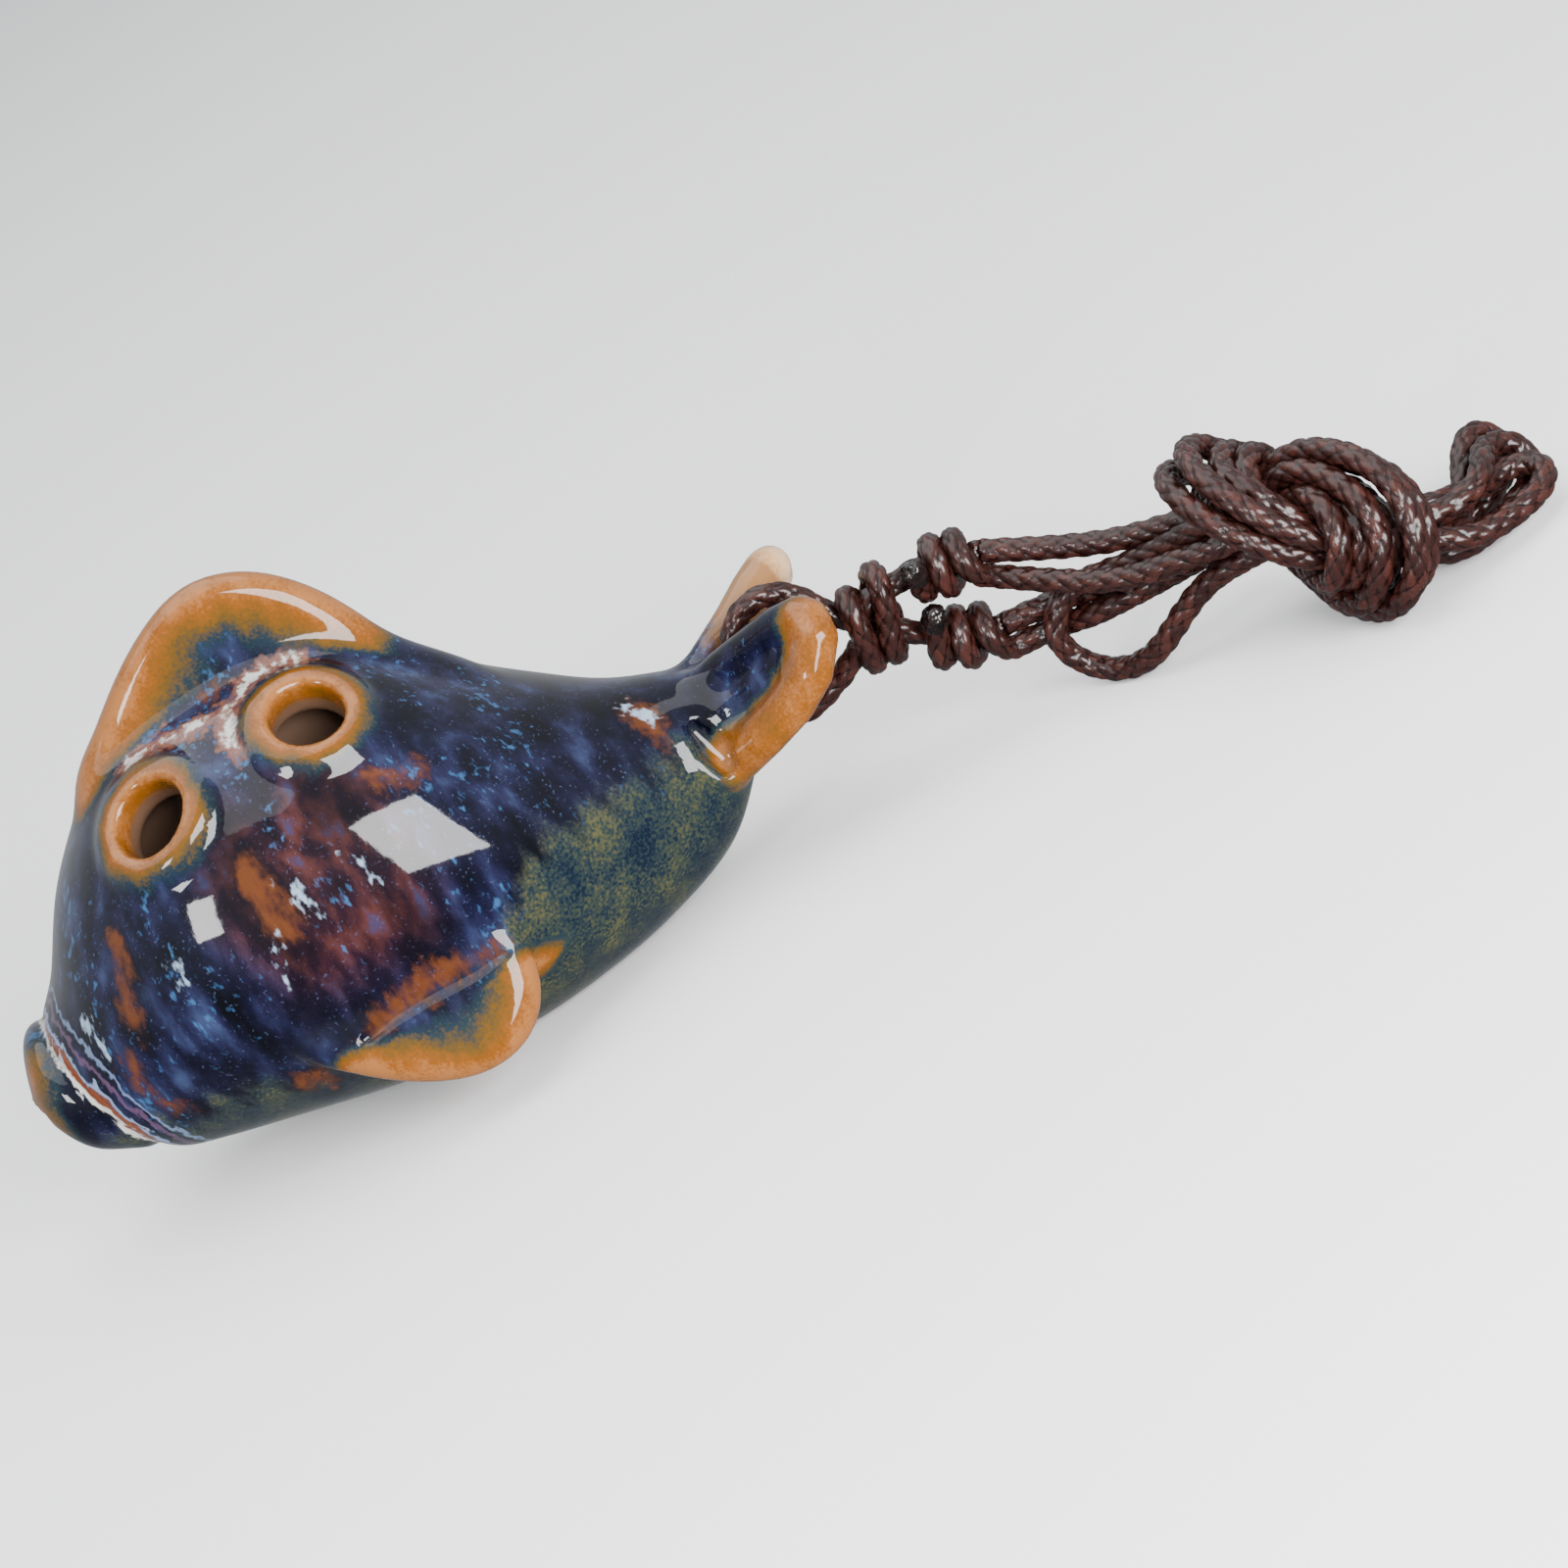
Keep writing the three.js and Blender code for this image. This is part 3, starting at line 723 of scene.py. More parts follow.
def folded_cords():
    """The two long cords, each one path from slide knot to slide knot through the overhand knot."""
    strands = knot_strands()
    order = nearest_order(itertools.permutations(range(6)), [strand[0] for strand in strands], FAN)
    strands = [strands[pick] for pick in order]
    strands[5] = strands[5][SLACK_SKIP:]
    legs = [leg for bight in BIGHTS for leg in bight_legs(bight)]
    # The slack turn already joins strands 4 and 5, so no end bight joins those two.
    joins = [picks for picks in itertools.permutations(range(6))
             if all({picks[k], picks[k + 1]} != {4, 5} for k in (0, 2, 4))]
    order = nearest_order(joins, [strand[-1] for strand in strands], legs)
    ends = {pick: leg for pick, leg in zip(order, legs)}
    laid = [np.concatenate([[FAN[k]], strands[k], [ends[k]]]) for k in range(6)]
    laid = [even_points(strand, CORD_STEP) for strand in laid]
    laid = tighten(laid, CORD, 90, 0.3, CORD_STEP, 5, CORD / 2.0)
    partner = {}
    for bight, first, second in zip(BIGHTS, order[::2], order[1::2]):
        partner[first] = (second, bight)
        partner[second] = (first, bight)
    slack = smooth_path(SLACK, CORD_STEP)
    cords = []
    used = set()
    for start in range(4):
        if start in used:
            continue
        path, strand = [], start
        while True:
            used.add(strand)
            path.append(laid[strand])
            other, bight = partner[strand]
            path.append(bight_tip(bight, laid[strand][-1], laid[other][-1]))
            used.add(other)
            path.append(laid[other][::-1])
            if other < 4:
                break
            path.append(slack[1:-1] if other == 5 else slack[-2:0:-1])
            strand = 9 - other
        cords.append(np.concatenate(path))
    return settle(cords)


def settle(cords):
    """Takes the kinks out of the laid cords without shortening them, and keeps them clear of each other."""
    for step in range(60):
        if step % 12 == 0:
            cords = [even_points(cord, CORD_STEP) for cord in cords]
        points, chain, starts, free = joined(cords)
        for pull in (0.5, -0.51):
            straighten(points, pull, free)
        push_apart(points, chain, CORD, 5, free)
        points[:, 2] = np.maximum(points[:, 2], CORD / 2.0)
        cords = parted(points, starts)
    return cords


# ---------------- cord: the three wrapped knots

# Each: middle, yaw, pitch, wrap radii across and up, half the length of the winding, turns.
LOOP_KNOT = ((59.7, -2.0, 19.4), -10.0, 32.0, (3.1, 4.9), 2.0, 2.4)
UPPER_KNOT = ((69.5, -3.5, 20.6), -24.0, 10.0, (3.1, 3.1), 3.1, 2.4)
LOWER_KNOT = ((67.7, -3.5, 11.2), -24.0, 10.0, (3.1, 3.1), 3.1, 2.4)
LOOP_TUCKS = ((1.2, 0.6, 0.9), (-1.2, 0.6, -0.9))  # where the ends of the loop knot's winding go in
UPPER_STUB = (66.0, -7.0, 22.6)
LOWER_STUB = (65.4, -6.4, 16.2)


def in_knot(knot, points):
    """Points given along, across and up a wrapped knot, in the row frame."""
    middle, yaw, pitch = knot[:3]
    return np.asarray(points, float) @ turned_axes(math.radians(yaw), math.radians(pitch)) + middle


def winding(knot, start=0.0):
    """The turns of a wrapped knot, from right to left, begun so many turns round from under its middle."""
    across, up = knot[3]
    half, turns = knot[4:]
    done = np.linspace(0.15, turns, 44)
    angle = (done + start) * 2.0 * math.pi
    run = half - 2.0 * half * done / turns
    return in_knot(knot, np.stack([run, -across * np.sin(angle), -up * np.cos(angle)], axis=1))


def wrapped_knots():
    """The strands of the loop knot and the two slide knots, in the order: legs, windings."""
    strands = []
    for start, height, knot, end in (
        (TAIL_LOOP[0], CORD / 2.0, UPPER_KNOT, FAN[0]),
        (TAIL_LOOP[-1], -CORD / 2.0, LOWER_KNOT, FAN[2]),
    ):
        through = in_knot(LOOP_KNOT, [(0, 0, height)])
        strands.append(np.concatenate([[start], through, in_knot(knot, [(-4, 0, 0), (4, 0, 0)]), [end]]))
    tucks = in_knot(LOOP_KNOT, LOOP_TUCKS)
    strands += [
        np.concatenate([tucks[:1], winding(LOOP_KNOT, 0.5), tucks[1:]]),
        np.concatenate([[FAN[1]], winding(UPPER_KNOT), [UPPER_STUB]]),
        np.concatenate([[FAN[3]], winding(LOWER_KNOT), [LOWER_STUB]]),
    ]
    return tighten([even_points(strand, CORD_STEP) for strand in strands], CORD, 60, 0.25, CORD_STEP, 4)


# ---------------- cord: braided tubes

BRAID_SIDES = 40
BRAID_RINGS = 0.3  # spacing of the rings along the cord
BRAID_STRANDS = 5  # that run each way round
BRAID_PITCH = 2.8
BRAID_DEPTH = 0.32


def braid_pattern(turn, run):
    """How far the plait stands out, from 0 to 1, and a shade for each of its cells."""
    a = turn * BRAID_STRANDS + run / BRAID_PITCH
    b = turn * BRAID_STRANDS - run / BRAID_PITCH
    cell_a, cell_b = np.floor(a + 1e-6), np.floor(b + 1e-6)
    over = (cell_a + cell_b) % 2 == 0
    across = np.where(over, a - cell_a, b - cell_b) * 2.0 - 1.0
    along = np.where(over, b - cell_b, a - cell_a) * 2.0 - 1.0
    relief = (1.0 - np.abs(across) ** 3) * (1.0 - 0.5 * along**2)
    shade = np.sin(cell_a * 12.9898 + (cell_b % (2 * BRAID_STRANDS)) * 78.233) * 43758.5453 % 1.0
    return relief, shade


def braid_tube(name, paths, material):
    """Braided cords along paths in millimetres as one mesh, and the first one's middle line."""
    points, faces, relief, shade = [], [], [], []
    turn = np.arange(BRAID_SIDES) / BRAID_SIDES
    for path in paths:
        rings = smooth_path(path, BRAID_RINGS)
        _, side, out = travelling_frame(rings)
        run = np.arange(len(rings)) * BRAID_RINGS
        height, tone = braid_pattern(turn[None], run[:, None])
        radius = (CORD / 2.0 - BRAID_DEPTH * 0.6 + BRAID_DEPTH * height)[..., None]
        angle = (turn * 2.0 * math.pi)[None, :, None]
        tube = rings[:, None] + radius * (side[:, None] * np.cos(angle) + out[:, None] * np.sin(angle))
        first = sum(len(part) for part in points)
        points += [tube.reshape(-1, 3), rings[[0, -1]]]
        relief += [height.ravel(), [0.2, 0.2]]
        shade += [tone.ravel(), [0.2, 0.2]]
        ring, column = (grid.ravel() for grid in np.meshgrid(
            np.arange(len(rings) - 1), np.arange(BRAID_SIDES), indexing="ij"))
        beside = (column + 1) % BRAID_SIDES
        here, there = first + ring * BRAID_SIDES, first + (ring + 1) * BRAID_SIDES
        faces += list(np.stack([here + column, here + beside, there + beside, there + column], axis=1))
        last = first + (len(rings) - 1) * BRAID_SIDES
        cap = first + len(rings) * BRAID_SIDES
        for k in range(BRAID_SIDES):
            after = (k + 1) % BRAID_SIDES
            faces.append(np.array([cap, first + after, first + k]))
            faces.append(np.array([cap + 1, last + k, last + after]))
    piece = mesh_object(name, np.concatenate(points), faces, material,
                        {"relief": np.concatenate(relief), "shade": np.concatenate(shade)})
    return piece, smooth_path(paths[0], 1.0)


def melted_end(name, place, aim, material):
    """The black bead left where a cut end was sealed with a flame."""
    shape = bmesh.new()
    bmesh.ops.create_icosphere(shape, subdivisions=5, radius=1.0)
    ahead = Vector(aim).normalized()
    for vertex in shape.verts:
        way = vertex.co.normalized()
        swell = 1.62 + 0.34 * noise.noise(way * 1.7 + Vector(place)) + 0.1 * noise.noise(way * 5.0)
        vertex.co = way * swell + ahead * (0.5 * way.dot(ahead))
    points = [vertex.co + Vector(place) for vertex in shape.verts]
    faces = [np.array([vertex.index for vertex in face.verts]) for face in shape.faces]
    shape.free()
    return mesh_object(name, np.array(points), faces, material)


# ---------------- materials: node helpers

def shader(name):
    """A new material, its main shader and its mixer."""
    material = bpy.data.materials.new(name)
    material.use_nodes = True
    return material, material.node_tree.nodes["Principled BSDF"], Mixer(material.node_tree)


def colour(red, green, blue):
    """A colour given as 0 to 255 on screen, as the shaders take it."""
    return tuple((share / 255.0) ** 2.2 for share in (red, green, blue)) + (1.0,)


MIX_UNDER, MIX_OVER, MIX_RESULT = 6, 7, 2  # the places of a Mix node's colour sockets


class Mixer:
    """Short calls for the nodes that the materials are made of."""

    def __init__(self, tree, coordinates="Object"):
        self.nodes, self.links = tree.nodes, tree.links
        self.place = self.make("TexCoord").outputs[coordinates]

    def join(self, socket, value):
        """Links a node's output to a socket, or sets the socket to a plain value."""
        if isinstance(value, bpy.types.NodeSocket):
            self.links.new(value, socket)
        else:
            socket.default_value = value

    def fill(self, node, **inputs):
        """Links or sets a node's inputs, given by name."""
        for name, value in inputs.items():
            self.join(node.inputs[name.replace("_", " ")], value)
        return node

    def make(self, kind, **inputs):
        return self.fill(self.nodes.new("ShaderNode" + kind), **inputs)

    def field(self, name):
        node = self.make("Attribute")
        node.attribute_name = name
        return node.outputs["Fac"]

    def cloud(self, size, detail=3.0, stretch=(1.0, 1.0, 1.0), shift=0.0):
        """Noise from 0 to 1 whose lumps are about size millimetres across."""
        scale = [1.0 / share for share in stretch]
        start = (shift, shift * 0.7, shift * 1.3)
        place = self.make("Mapping", Vector=self.place, Scale=scale, Location=start).outputs["Vector"]
        return self.make("TexNoise", Vector=place, Scale=1.0 / (size * MM), Detail=detail).outputs["Fac"]

    def sum(self, operation, *values):
        node = self.make("Math")
        node.operation = operation
        for socket, value in zip(node.inputs, values):
            self.join(socket, value)
        return node.outputs["Value"]

    def ragged(self, value, *breaks):
        """A value whose level lines are broken up by each cloud in turn, given with its reach."""
        for cloud, reach in breaks:
            value = self.sum("ADD", value, self.sum("MULTIPLY", self.sum("SUBTRACT", cloud, 0.5), reach))
        return value

    def step(self, value, start, end, low=0.0, high=1.0):
        """Runs softly from low where the value is at its start, to high at its end."""
        node = self.make("MapRange", Value=value, From_Min=start, From_Max=end, To_Min=low, To_Max=high)
        node.interpolation_type = "SMOOTHSTEP"
        return node.outputs["Result"]

    def ramp(self, value, *stops):
        """Colours at given places along a value, with blends between them."""
        node = self.make("ValToRGB", Fac=value)
        points = node.color_ramp.elements
        while len(points) < len(stops):
            points.new(0.5)
        for point, (place, shade) in zip(points, stops):
            point.position = place
            point.color = colour(*shade)
        return node.outputs["Color"]

    def blend(self, share, under, over):
        node = self.make("Mix")
        node.data_type = "RGBA"
        self.join(node.inputs["Factor"], share)
        self.join(node.inputs[MIX_UNDER], under)
        self.join(node.inputs[MIX_OVER], over)
        return node.outputs[MIX_RESULT]

    def paint(self, under, share, strength, *shade):
        """One plain colour laid over another, only so strongly."""
        return self.blend(self.sum("MULTIPLY", share, strength), under, colour(*shade))

    def bump(self, main, height, strength, depth):
        """Fine relief in the shading, from a height of 0 to 1 and a depth in millimetres."""
        node = self.make("Bump", Strength=strength, Distance=depth * MM, Height=height)
        self.fill(main, Normal=node.outputs["Normal"])


# ---------------- materials: glaze

CREAM_STREAMS = (
    ((0.8, -3.9, 52.5), (-2.5, -4.9, 52.9), (-5.7, -5.8, 53.2), (-10.0, -9.0, 52.4), (-13.7, -8.1, 52.6),
     (-18.7, -6.5, 52.9), (-22.8, -6.2, 52.3)),
    ((-10.2, -9.4, 52.2), (-10.7, -14.6, 49.4)),
)
ORANGE_STREAMS = (
    ((-11.6, -5.1, 53.7), (-10.6, -5.1, 53.7)),
    ((0.5, -20.6, 41.2), (2.8, -20.6, 39.7), (5.5, -20.0, 38.3)),
    ((-16.6, -22.8, 39.3), (-16.1, -24.2, 36.1), (-16.1, -25.2, 32.1)),
    ((-34.0, -16.6, 38.4), (-35.3, -17.5, 35.3), (-36.5, -18.4, 31.3)),
    ((-40.3, -17.1, 25.2), (-41.2, -16.5, 21.6), (-39.5, -16.7, 18.0)),
    ((-24.2, -20.0, 13.3), (-23.0, -19.4, 10.7), (-19.0, -24.6, 14.0)),
    ((30.2, -7.2, 25.4), (31.3, -9.3, 22.4)),
    ((-13.5, -25.4, 15.6), (-7.5, -25.3, 17.6), (-0.9, -25.5, 17.2), (3.7, -25.3, 17.2)),
)
PALE_STREAMS = (
    ((-17.6, -25.1, 31.7), (-18.4, -25.3, 29.0), (-19.5, -25.2, 25.9)),
    ((-29.1, -21.9, 33.6), (-29.4, -22.3, 31.2)),
    ((-48.6, -3.1, 29.7), (-48.4, -7.1, 27.7), (-47.6, -10.7, 21.6), (-45.6, -9.6, 14.8)),
    ((-42.7, -12.7, 30.5), (-42.2, -15.2, 26.7)),
    ((29.0, -6.2, 26.4), (31.2, -7.8, 24.2)),
    ((-14.2, -21.6, 39.5), (-12.6, -24.0, 35.6), (-12.0, -25.0, 31.0)),
    ((-6.2, -24.2, 36.0), (-4.6, -25.0, 31.0)),
)
# x and z of the line below which the glaze breaks to ochre.
BELLY_LINE = ((-40.0, 15.0), (-30.0, 17.0), (-24.0, 11.0), (-14.0, 8.0), (4.0, 16.0), (11.0, 25.0),
              (20.0, 23.0), (31.0, 21.0), (50.0, 15.0))
# The lines that the glaze drew in the beak's crease: place behind it, half width, strength, colour.
BEAK_LINES = (
    (0.9, 1.1, 0.7, (116, 62, 34)),
    (0.3, 0.5, 0.9, (176, 176, 172)),
    (1.9, 0.35, 0.7, (120, 138, 170)),
    (3.4, 0.4, 0.6, (84, 62, 84)),
    (4.6, 0.35, 0.5, (110, 128, 160)),
)
BEAK_BARE = (-53.6, 6.0, 25.4)  # a spot at the side of the mouth
FLANK_MIDDLE = (-9.6, 25.0, 34.3)  # of the violet patch
FAR_SIDE_SHIFT = 7.0  # the hidden side's streams lie this much further forward


def stream_distance(points, streams):
    """Distance from the nearest stream; the hidden side repeats the seen side's streams, moved along."""
    placed = points.copy()
    hidden = placed[:, 1] > 0.0
    placed[hidden, 1] *= -1.0
    placed[hidden, 0] += FAR_SIDE_SHIFT
    return np.min([path_distance(placed, stream) for stream in streams], axis=0)


def thin_glaze(points):
    """0 on the edges that the glaze drew back from, 1 where it has its full thickness."""
    x, y, z = points.T
    side = one_side(points)
    crest = path_distance(np.stack([x, z], axis=1), DORSAL_CREST)
    crest = crest + np.maximum(np.abs(y) - 3.6, 0.0) * 3.0 + np.maximum(53.0 - z, 0.0) * 0.5
    along, down, through = pectoral_plane(side)
    rim = path_distance(np.stack([along, down], axis=1), PECTORAL_RIM)
    rim = rim + np.maximum(np.abs(through) - 3.6, 0.0) * 3.0 + np.maximum(5.5 - down, 0.0) * 2.0
    edges = [
        crest / 8.4,
        rim / 7.2,
        (path_distance(side, [*FLUKE_RIM, FLUKE_TIP]) - 2.0) / 2.2,
        np.linalg.norm(side - FOLD[-1], axis=1) / 3.4,
        np.linalg.norm(side - BEAK_BARE, axis=1) / 5.4,
        (x - BEAK_TIP) / 3.6,
    ]
    for hole in HOLES:
        height, away = bore_coordinates(side, hole)
        ring = away - hole[4] - 0.7
        ring = np.where(ring > 0.0, ring / 3.1, -ring / 2.4) + np.maximum(np.abs(height + 0.8) - 2.2, 0.0)
        edges.append(ring)
    return np.clip(np.min(edges, axis=0), 0.0, 3.0)


def glaze_fields(points):
    """The named values that the glaze's shader turns into colours."""
    x, y, z = points.T
    side = one_side(points)
    belly = np.interp(x, *zip(*BELLY_LINE))
    inside = body_distance(side)
    hidden = np.clip(y / 6.0, 0.0, 1.0)
    beak = np.clip(behind_beak(points), -9.0, 9.0) * (1.0 + 1.6 * hidden) + 1.3 * hidden * np.sin(z * 0.5)
    return {
        "thin": thin_glaze(points),
        "cream": stream_distance(points, CREAM_STREAMS),
        "orange": stream_distance(points, ORANGE_STREAMS),
        "pale": stream_distance(points, PALE_STREAMS),
        "belly": np.clip((belly - z) / 10.0, -2.0, 2.0),
        "beak": beak + np.where(inside < -2.0, 20.0, 0.0),
        "flank": np.linalg.norm(side - FLANK_MIDDLE, axis=1),
        "far_fluke": np.minimum(np.clip(y / 4.0, -1.0, 1.0), np.clip((x - 40.0) / 5.0, -1.0, 1.0)),
        "bare": np.maximum(np.clip(-inside - 1.6, 0.0, 1.0), np.clip((0.7 - z) / 0.4, 0.0, 1.0)),
    }


def glaze_material():
    """A running glaze: navy and violet with cyan flecks, tan where thin, cream where pooled, and a painted
    reflection on the far fluke.
    """
    material, main, mixer = shader("running_blue_glaze")
    drift = mixer.cloud(9.0, 4.0, (1.0, 1.0, 2.2))
    flow = mixer.cloud(3.4, 5.0, (1.0, 1.0, 2.4), 3.1)
    fleck = mixer.cloud(0.85, 4.0, (1.0, 1.0, 2.0), 5.3)
    speck = mixer.cloud(0.42, 2.0, shift=7.7)

    navy = mixer.ramp(
        flow, (0.3, (8, 8, 15)), (0.46, (16, 16, 30)), (0.58, (26, 27, 47)), (0.74, (43, 51, 76)))
    violet = mixer.ramp(
        flow, (0.3, (14, 9, 13)), (0.48, (32, 18, 26)), (0.6, (60, 34, 32)), (0.74, (38, 46, 76)))
    flank = mixer.ragged(mixer.field("flank"), (drift, 16.0))
    base = mixer.blend(mixer.step(flank, 17.0, 7.0), navy, violet)
    base = mixer.paint(base, mixer.step(mixer.ragged(fleck, (drift, 0.9)), 0.64, 0.8), 0.6, 50, 86, 124)
    base = mixer.paint(base, mixer.step(speck, 0.62, 0.78), 0.5, 66, 76, 104)

    patch = mixer.cloud(6.5, 4.0, shift=9.4)
    moss = mixer.ragged(speck, (patch, 1.0), (flow, 0.3))
    base = mixer.paint(base, mixer.step(drift, 0.52, 0.36), 0.65, 8, 8, 15)
    ochre = mixer.ramp(
        moss, (0.26, (16, 24, 34)), (0.44, (26, 35, 42)), (0.6, (41, 47, 41)), (0.82, (64, 62, 42)))
    base = mixer.blend(mixer.step(mixer.ragged(mixer.field("belly"), (flow, 1.6)), -0.2, 0.35), base, ochre)

    orange = mixer.ragged(mixer.field("orange"), (flow, 9.0), (fleck, 4.0))
    base = mixer.paint(base, mixer.step(orange, 2.4, -0.6), 0.55, 98, 56, 28)
    beak = mixer.ragged(mixer.field("beak"), (flow, 3.0), (fleck, 1.6))
    for middle, half, strength, shade in BEAK_LINES:
        away = mixer.sum("ABSOLUTE", mixer.sum("SUBTRACT", beak, middle))
        base = mixer.paint(base, mixer.step(away, half, half * 0.3), strength, *shade)
    pale = mixer.ragged(mixer.field("pale"), (flow, 5.0), (fleck, 5.0))
    base = mixer.paint(base, mixer.step(pale, 0.5, -0.6), 0.85, 128, 146, 166)
    cream = mixer.ragged(mixer.field("cream"), (flow, 7.0), (fleck, 4.0))
    base = mixer.paint(base, mixer.step(cream, 2.4, 0.9), 0.8, 108, 72, 60)
    base = mixer.paint(base, mixer.step(cream, 0.9, -0.3), 0.9, 176, 178, 176)

    thin = mixer.ragged(mixer.field("thin"), (flow, 0.9), (speck, 0.5))
    tan = mixer.ramp(
        thin, (0.04, (127, 82, 46)), (0.3, (104, 61, 22)), (0.58, (76, 57, 24)), (0.85, (26, 41, 47)))
    base = mixer.blend(mixer.step(thin, 1.15, 0.7), base, tan)
    # Painted reflection on the far fluke: its pale shades at the edges stand for the white surroundings
    # reflected over it, and the tan in its middle is the glaze.
    reflection_veil_and_tan = mixer.ramp(thin, (0.1, (198, 170, 142)), (0.5, (176, 140, 102)), (0.9, (128, 92, 60)))
    far_fluke = mixer.ragged(mixer.field("far_fluke"), (flow, 1.2))
    base = mixer.blend(mixer.step(far_fluke, 0.1, 0.9), base, reflection_veil_and_tan)
    bare = mixer.field("bare")
    base = mixer.blend(bare, base, colour(84, 62, 47))
    roughness = mixer.sum("ADD", mixer.sum("MULTIPLY", bare, 0.6), mixer.sum("MULTIPLY", speck, 0.1))
    mixer.fill(main, Base_Color=base, Roughness=roughness, Specular_IOR_Level=0.34)
    mixer.bump(main, flow, 0.1, 0.2)
    return material


# ---------------- materials: cord and studio

def cord_material():
    """Waxed brown braid: reddish brown along its yarns, and nearly black between them, which is painted
    shade in the crevices.
    """
    material, main, mixer = shader("waxed_brown_braid")
    relief = mixer.field("relief")
    yarns = mixer.cloud(0.3, 3.0)
    ridge = mixer.step(mixer.ragged(relief, (yarns, 0.16)), 0.08, 0.55)
    yarn_tone = mixer.ramp(mixer.ragged(mixer.field("shade"), (yarns, 0.7)),
                      (0.2, (38, 22, 20)), (0.6, (44, 25, 22)), (0.98, (55, 31, 27)))
    # Painted shade: the near-black colour fills the crevices between the yarns, where the ridge mask falls
    # to 0.
    braid = mixer.blend(ridge, colour(7, 4, 4), yarn_tone)
    mixer.fill(main, Base_Color=braid, Roughness=0.26, Specular_IOR_Level=0.36)
    mixer.bump(main, yarns, 0.25, 0.1)
    return material


def melted_material():
    """Cord that has melted and set again, black and shiny."""
    material, main, mixer = shader("melted_cord")
    lumps = mixer.cloud(0.9, 3.0)
    black = mixer.ramp(lumps, (0.35, (10, 8, 8)), (0.7, (30, 21, 20)))
    mixer.fill(main, Base_Color=black, Roughness=0.16)
    mixer.bump(main, lumps, 0.35, 0.25)
    return material


def plain_material(name, shade, roughness):
    material, main, mixer = shader(name)
    mixer.fill(main, Base_Color=(*shade, 1.0), Roughness=roughness)
    return material


# ---------------- the ocarina

CERAMIC_NODES = ("back_shell", "belly_shell", "beak_roof", "beak_floor", "tail_stock", "dorsal_fin",
                 "left_pectoral_fin", "right_pectoral_fin", "left_fluke", "right_fluke",
                 "front_left_collar", "front_right_collar", "rear_left_collar", "rear_right_collar")


def add_clay():
    """One glazed skin, because slip and glaze fuse the clay pieces in the kiln."""
    points, faces = clay_surface()
    clay = mesh_object("glazed_ocarina", points, faces, glaze_material(), glaze_fields(points))
    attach(clay, "root")
    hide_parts(*CERAMIC_NODES)


def path_length(path):
    return float(run_along(path)[-1])


def declare_cord(piece, path, with_pieces):
    [float(share) * MM for share in path[0]]
    path_length(path) * MM
    [[float(share) * MM for share in point] for point in path]
    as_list(with_pieces)


def add_lanyard():
    """The tail loop, the three wrapped knots, and the folded cords tied together in the overhand knot."""
    braid = cord_material()
    black = melted_material()
    upper_leg, lower_leg, loop_turns, upper_turns, lower_turns = wrapped_knots()
    knots = []
    for name, node, paths in (
        ("loop_knot", "lanyard_loop_knot", [loop_turns]),
        ("upper_slide_knot", "lanyard_upper_slide_knot", [upper_turns, upper_leg]),
        ("lower_slide_knot", "lanyard_lower_slide_knot", [lower_turns, lower_leg]),
    ):
        knot, _ = braid_tube(name, paths, braid)
        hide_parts(node)
        knots.append(knot)
    for name, turns in (("upper_melted_end", upper_turns), ("lower_melted_end", lower_turns)):
        knots.append(melted_end(name, turns[-1], turns[-1] - turns[-3], black))
    for knot in knots:
        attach(knot, "root")

    loop, path = braid_tube("tail_loop", [TAIL_LOOP], braid)
    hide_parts("lanyard_tail_loop")
    declare_cord(loop, path, knots[:1])
    folded = [loop]
    routes = sorted(folded_cords(), key=path_length, reverse=True)
    for name, route in zip(("long_folded_cord", "short_folded_cord"), routes):
        cord, path = braid_tube(name, [route], braid)
        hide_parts("lanyard_overhand_knot", "lanyard_strands", "lanyard_end_bights")
        declare_cord(cord, path, knots[1:] if len(folded) == 1 else [])
        folded.append(cord)
    for cord in folded:
        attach(cord, "root")


# ---------------- studio

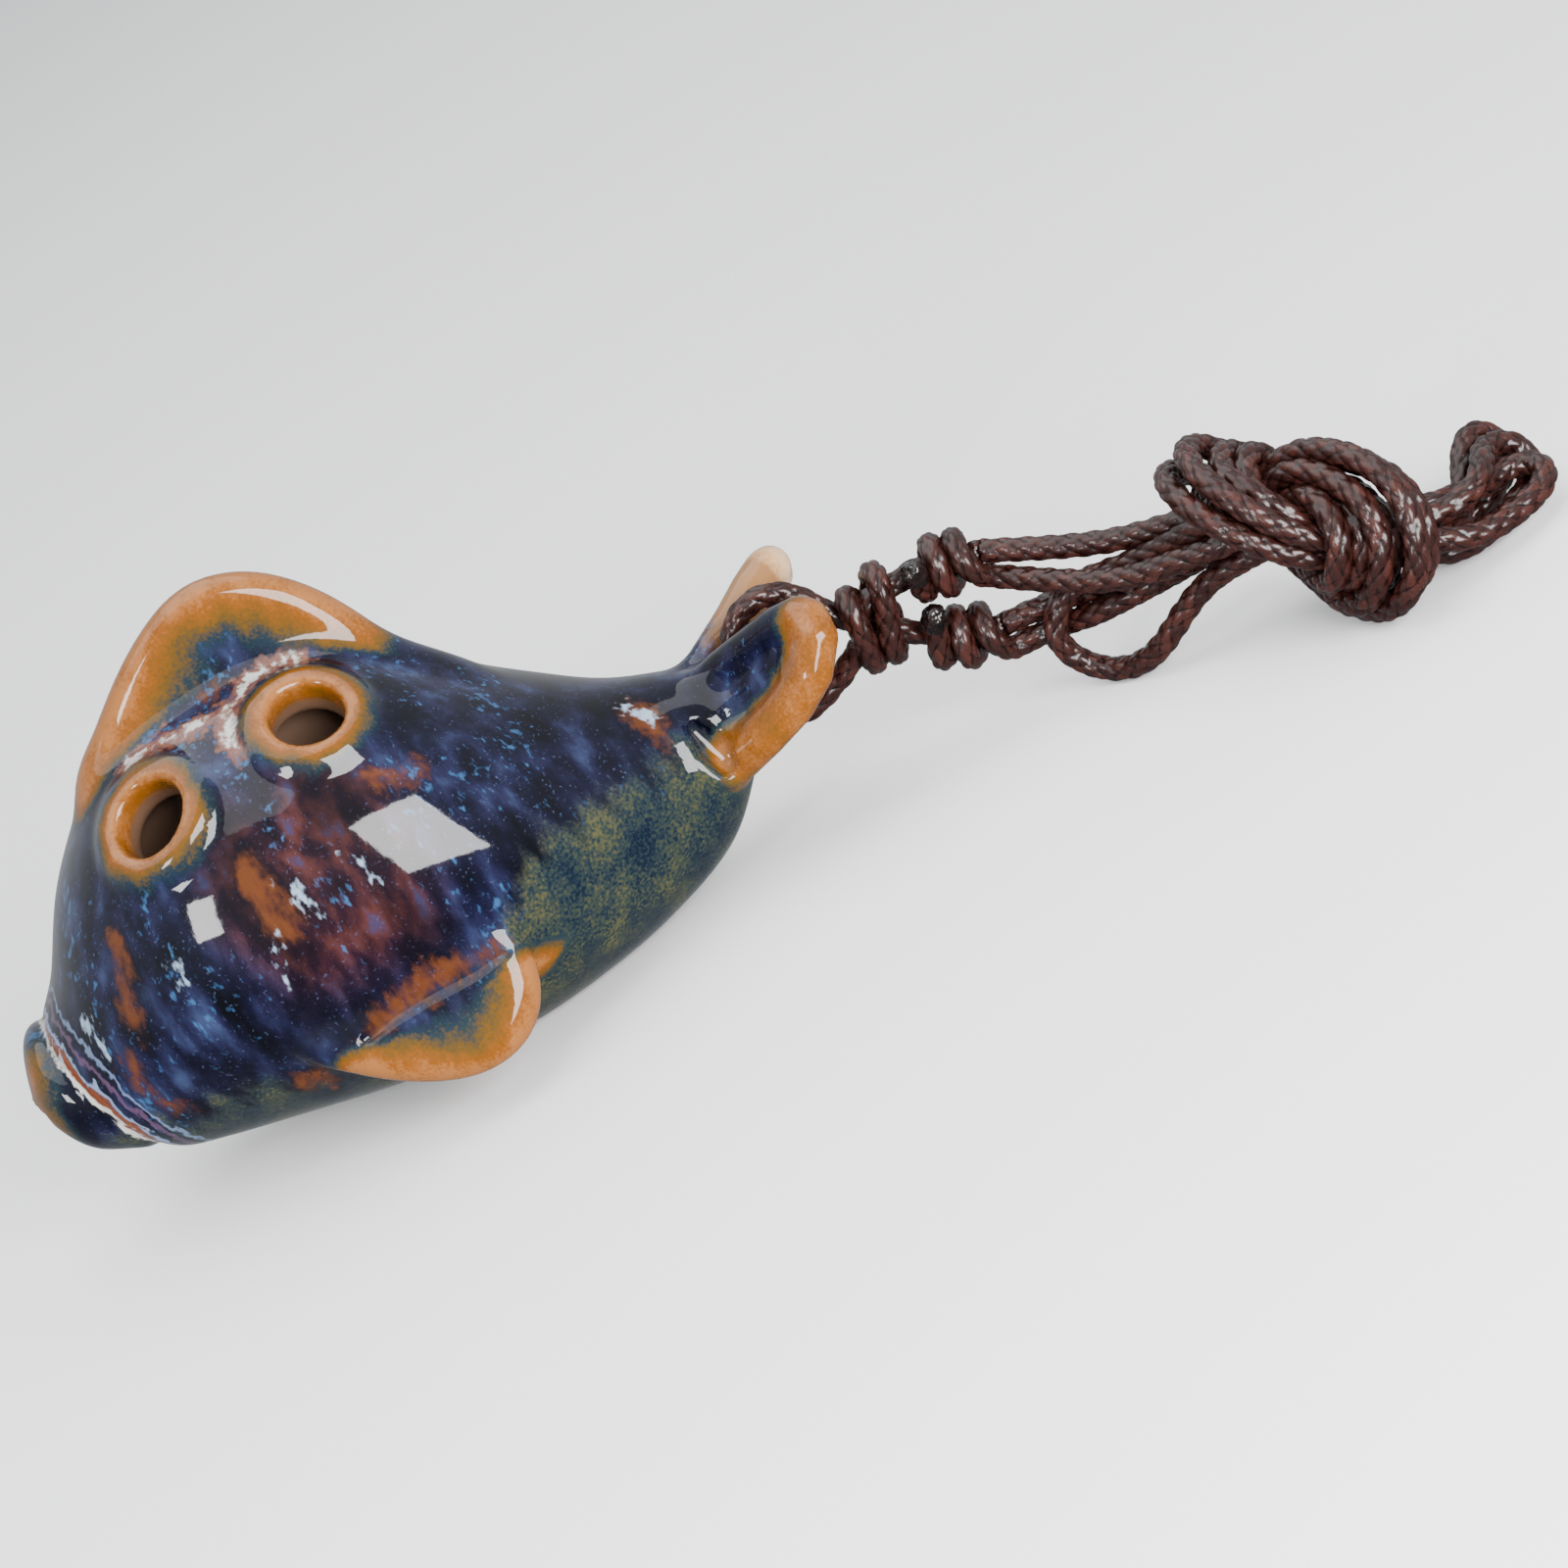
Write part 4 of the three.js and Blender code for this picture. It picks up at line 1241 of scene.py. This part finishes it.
FLOOR = 3000.0  # from its middle to each edge
ROOM_LOW, ROOM_HIGH = 0.3, 0.85  # brightness of the room below the horizon and above it
FADE_FROM, FADE_TO = -0.5, 0.3  # the heights between which it changes, 1 being straight up


def add_floor():
    corners = np.array([(x * FLOOR, y * FLOOR, 0.0) for x, y in ((-1, -1), (1, -1), (1, 1), (-1, 1))])
    grey = plain_material("floor", (0.9, 0.9, 0.9), 0.9)
    floor = mesh_object("floor", corners, np.array([[0, 1, 2, 3]]), grey)
    floor.visible_glossy = False


def add_softbox(name, place, aim, size, power):
    """A square softbox at a place in millimetres that faces another."""
    data = bpy.data.lights.new(name, "AREA")
    data.shape = "RECTANGLE"
    data.size, data.size_y = (side * MM for side in size)
    data.energy = power
    lamp = bpy.data.objects.new(name, data)
    lamp.location = Vector(place) * MM
    lamp.rotation_euler = (Vector(place) - Vector(aim)).to_track_quat("Z", "Y").to_euler()
    bpy.context.scene.collection.objects.link(lamp)


def place_round(azimuth, elevation, distance):
    """A place so many degrees to the right of the camera's side and above the floor, and so far off."""
    azimuth, elevation = math.radians(azimuth), math.radians(elevation)
    flat = distance * math.cos(elevation)
    return flat * math.sin(azimuth), -flat * math.cos(azimuth), distance * math.sin(elevation)


def add_room():
    """Dark below and pale above, with no hard line for the glaze to reflect."""
    world = bpy.data.worlds.new("studio")
    world.use_nodes = True
    mixer = Mixer(world.node_tree, "Generated")
    height = mixer.make("SeparateXYZ", Vector=mixer.place).outputs["Z"]
    strength = mixer.step(height, FADE_FROM, FADE_TO, ROOM_LOW, ROOM_HIGH)
    mixer.fill(world.node_tree.nodes["Background"], Color=(0.94, 0.97, 1.0, 1.0), Strength=strength)
    bpy.context.scene.world = world


def add_studio():
    add_room()
    add_floor()
    middle = (0.0, 0.0, 25.0)
    add_softbox("main_softbox", place_round(27.0, 17.0, 520.0), middle, (330.0, 290.0), 8.0)
    add_softbox("left_softbox", place_round(-37.0, 22.0, 560.0), middle, (110.0, 170.0), 1.9)
    add_softbox("overhead_softbox", (-60.0, 60.0, 900.0), middle, (1300.0, 1100.0), 11.0)


add_camera()
add_lanyard()
add_clay()
add_studio()
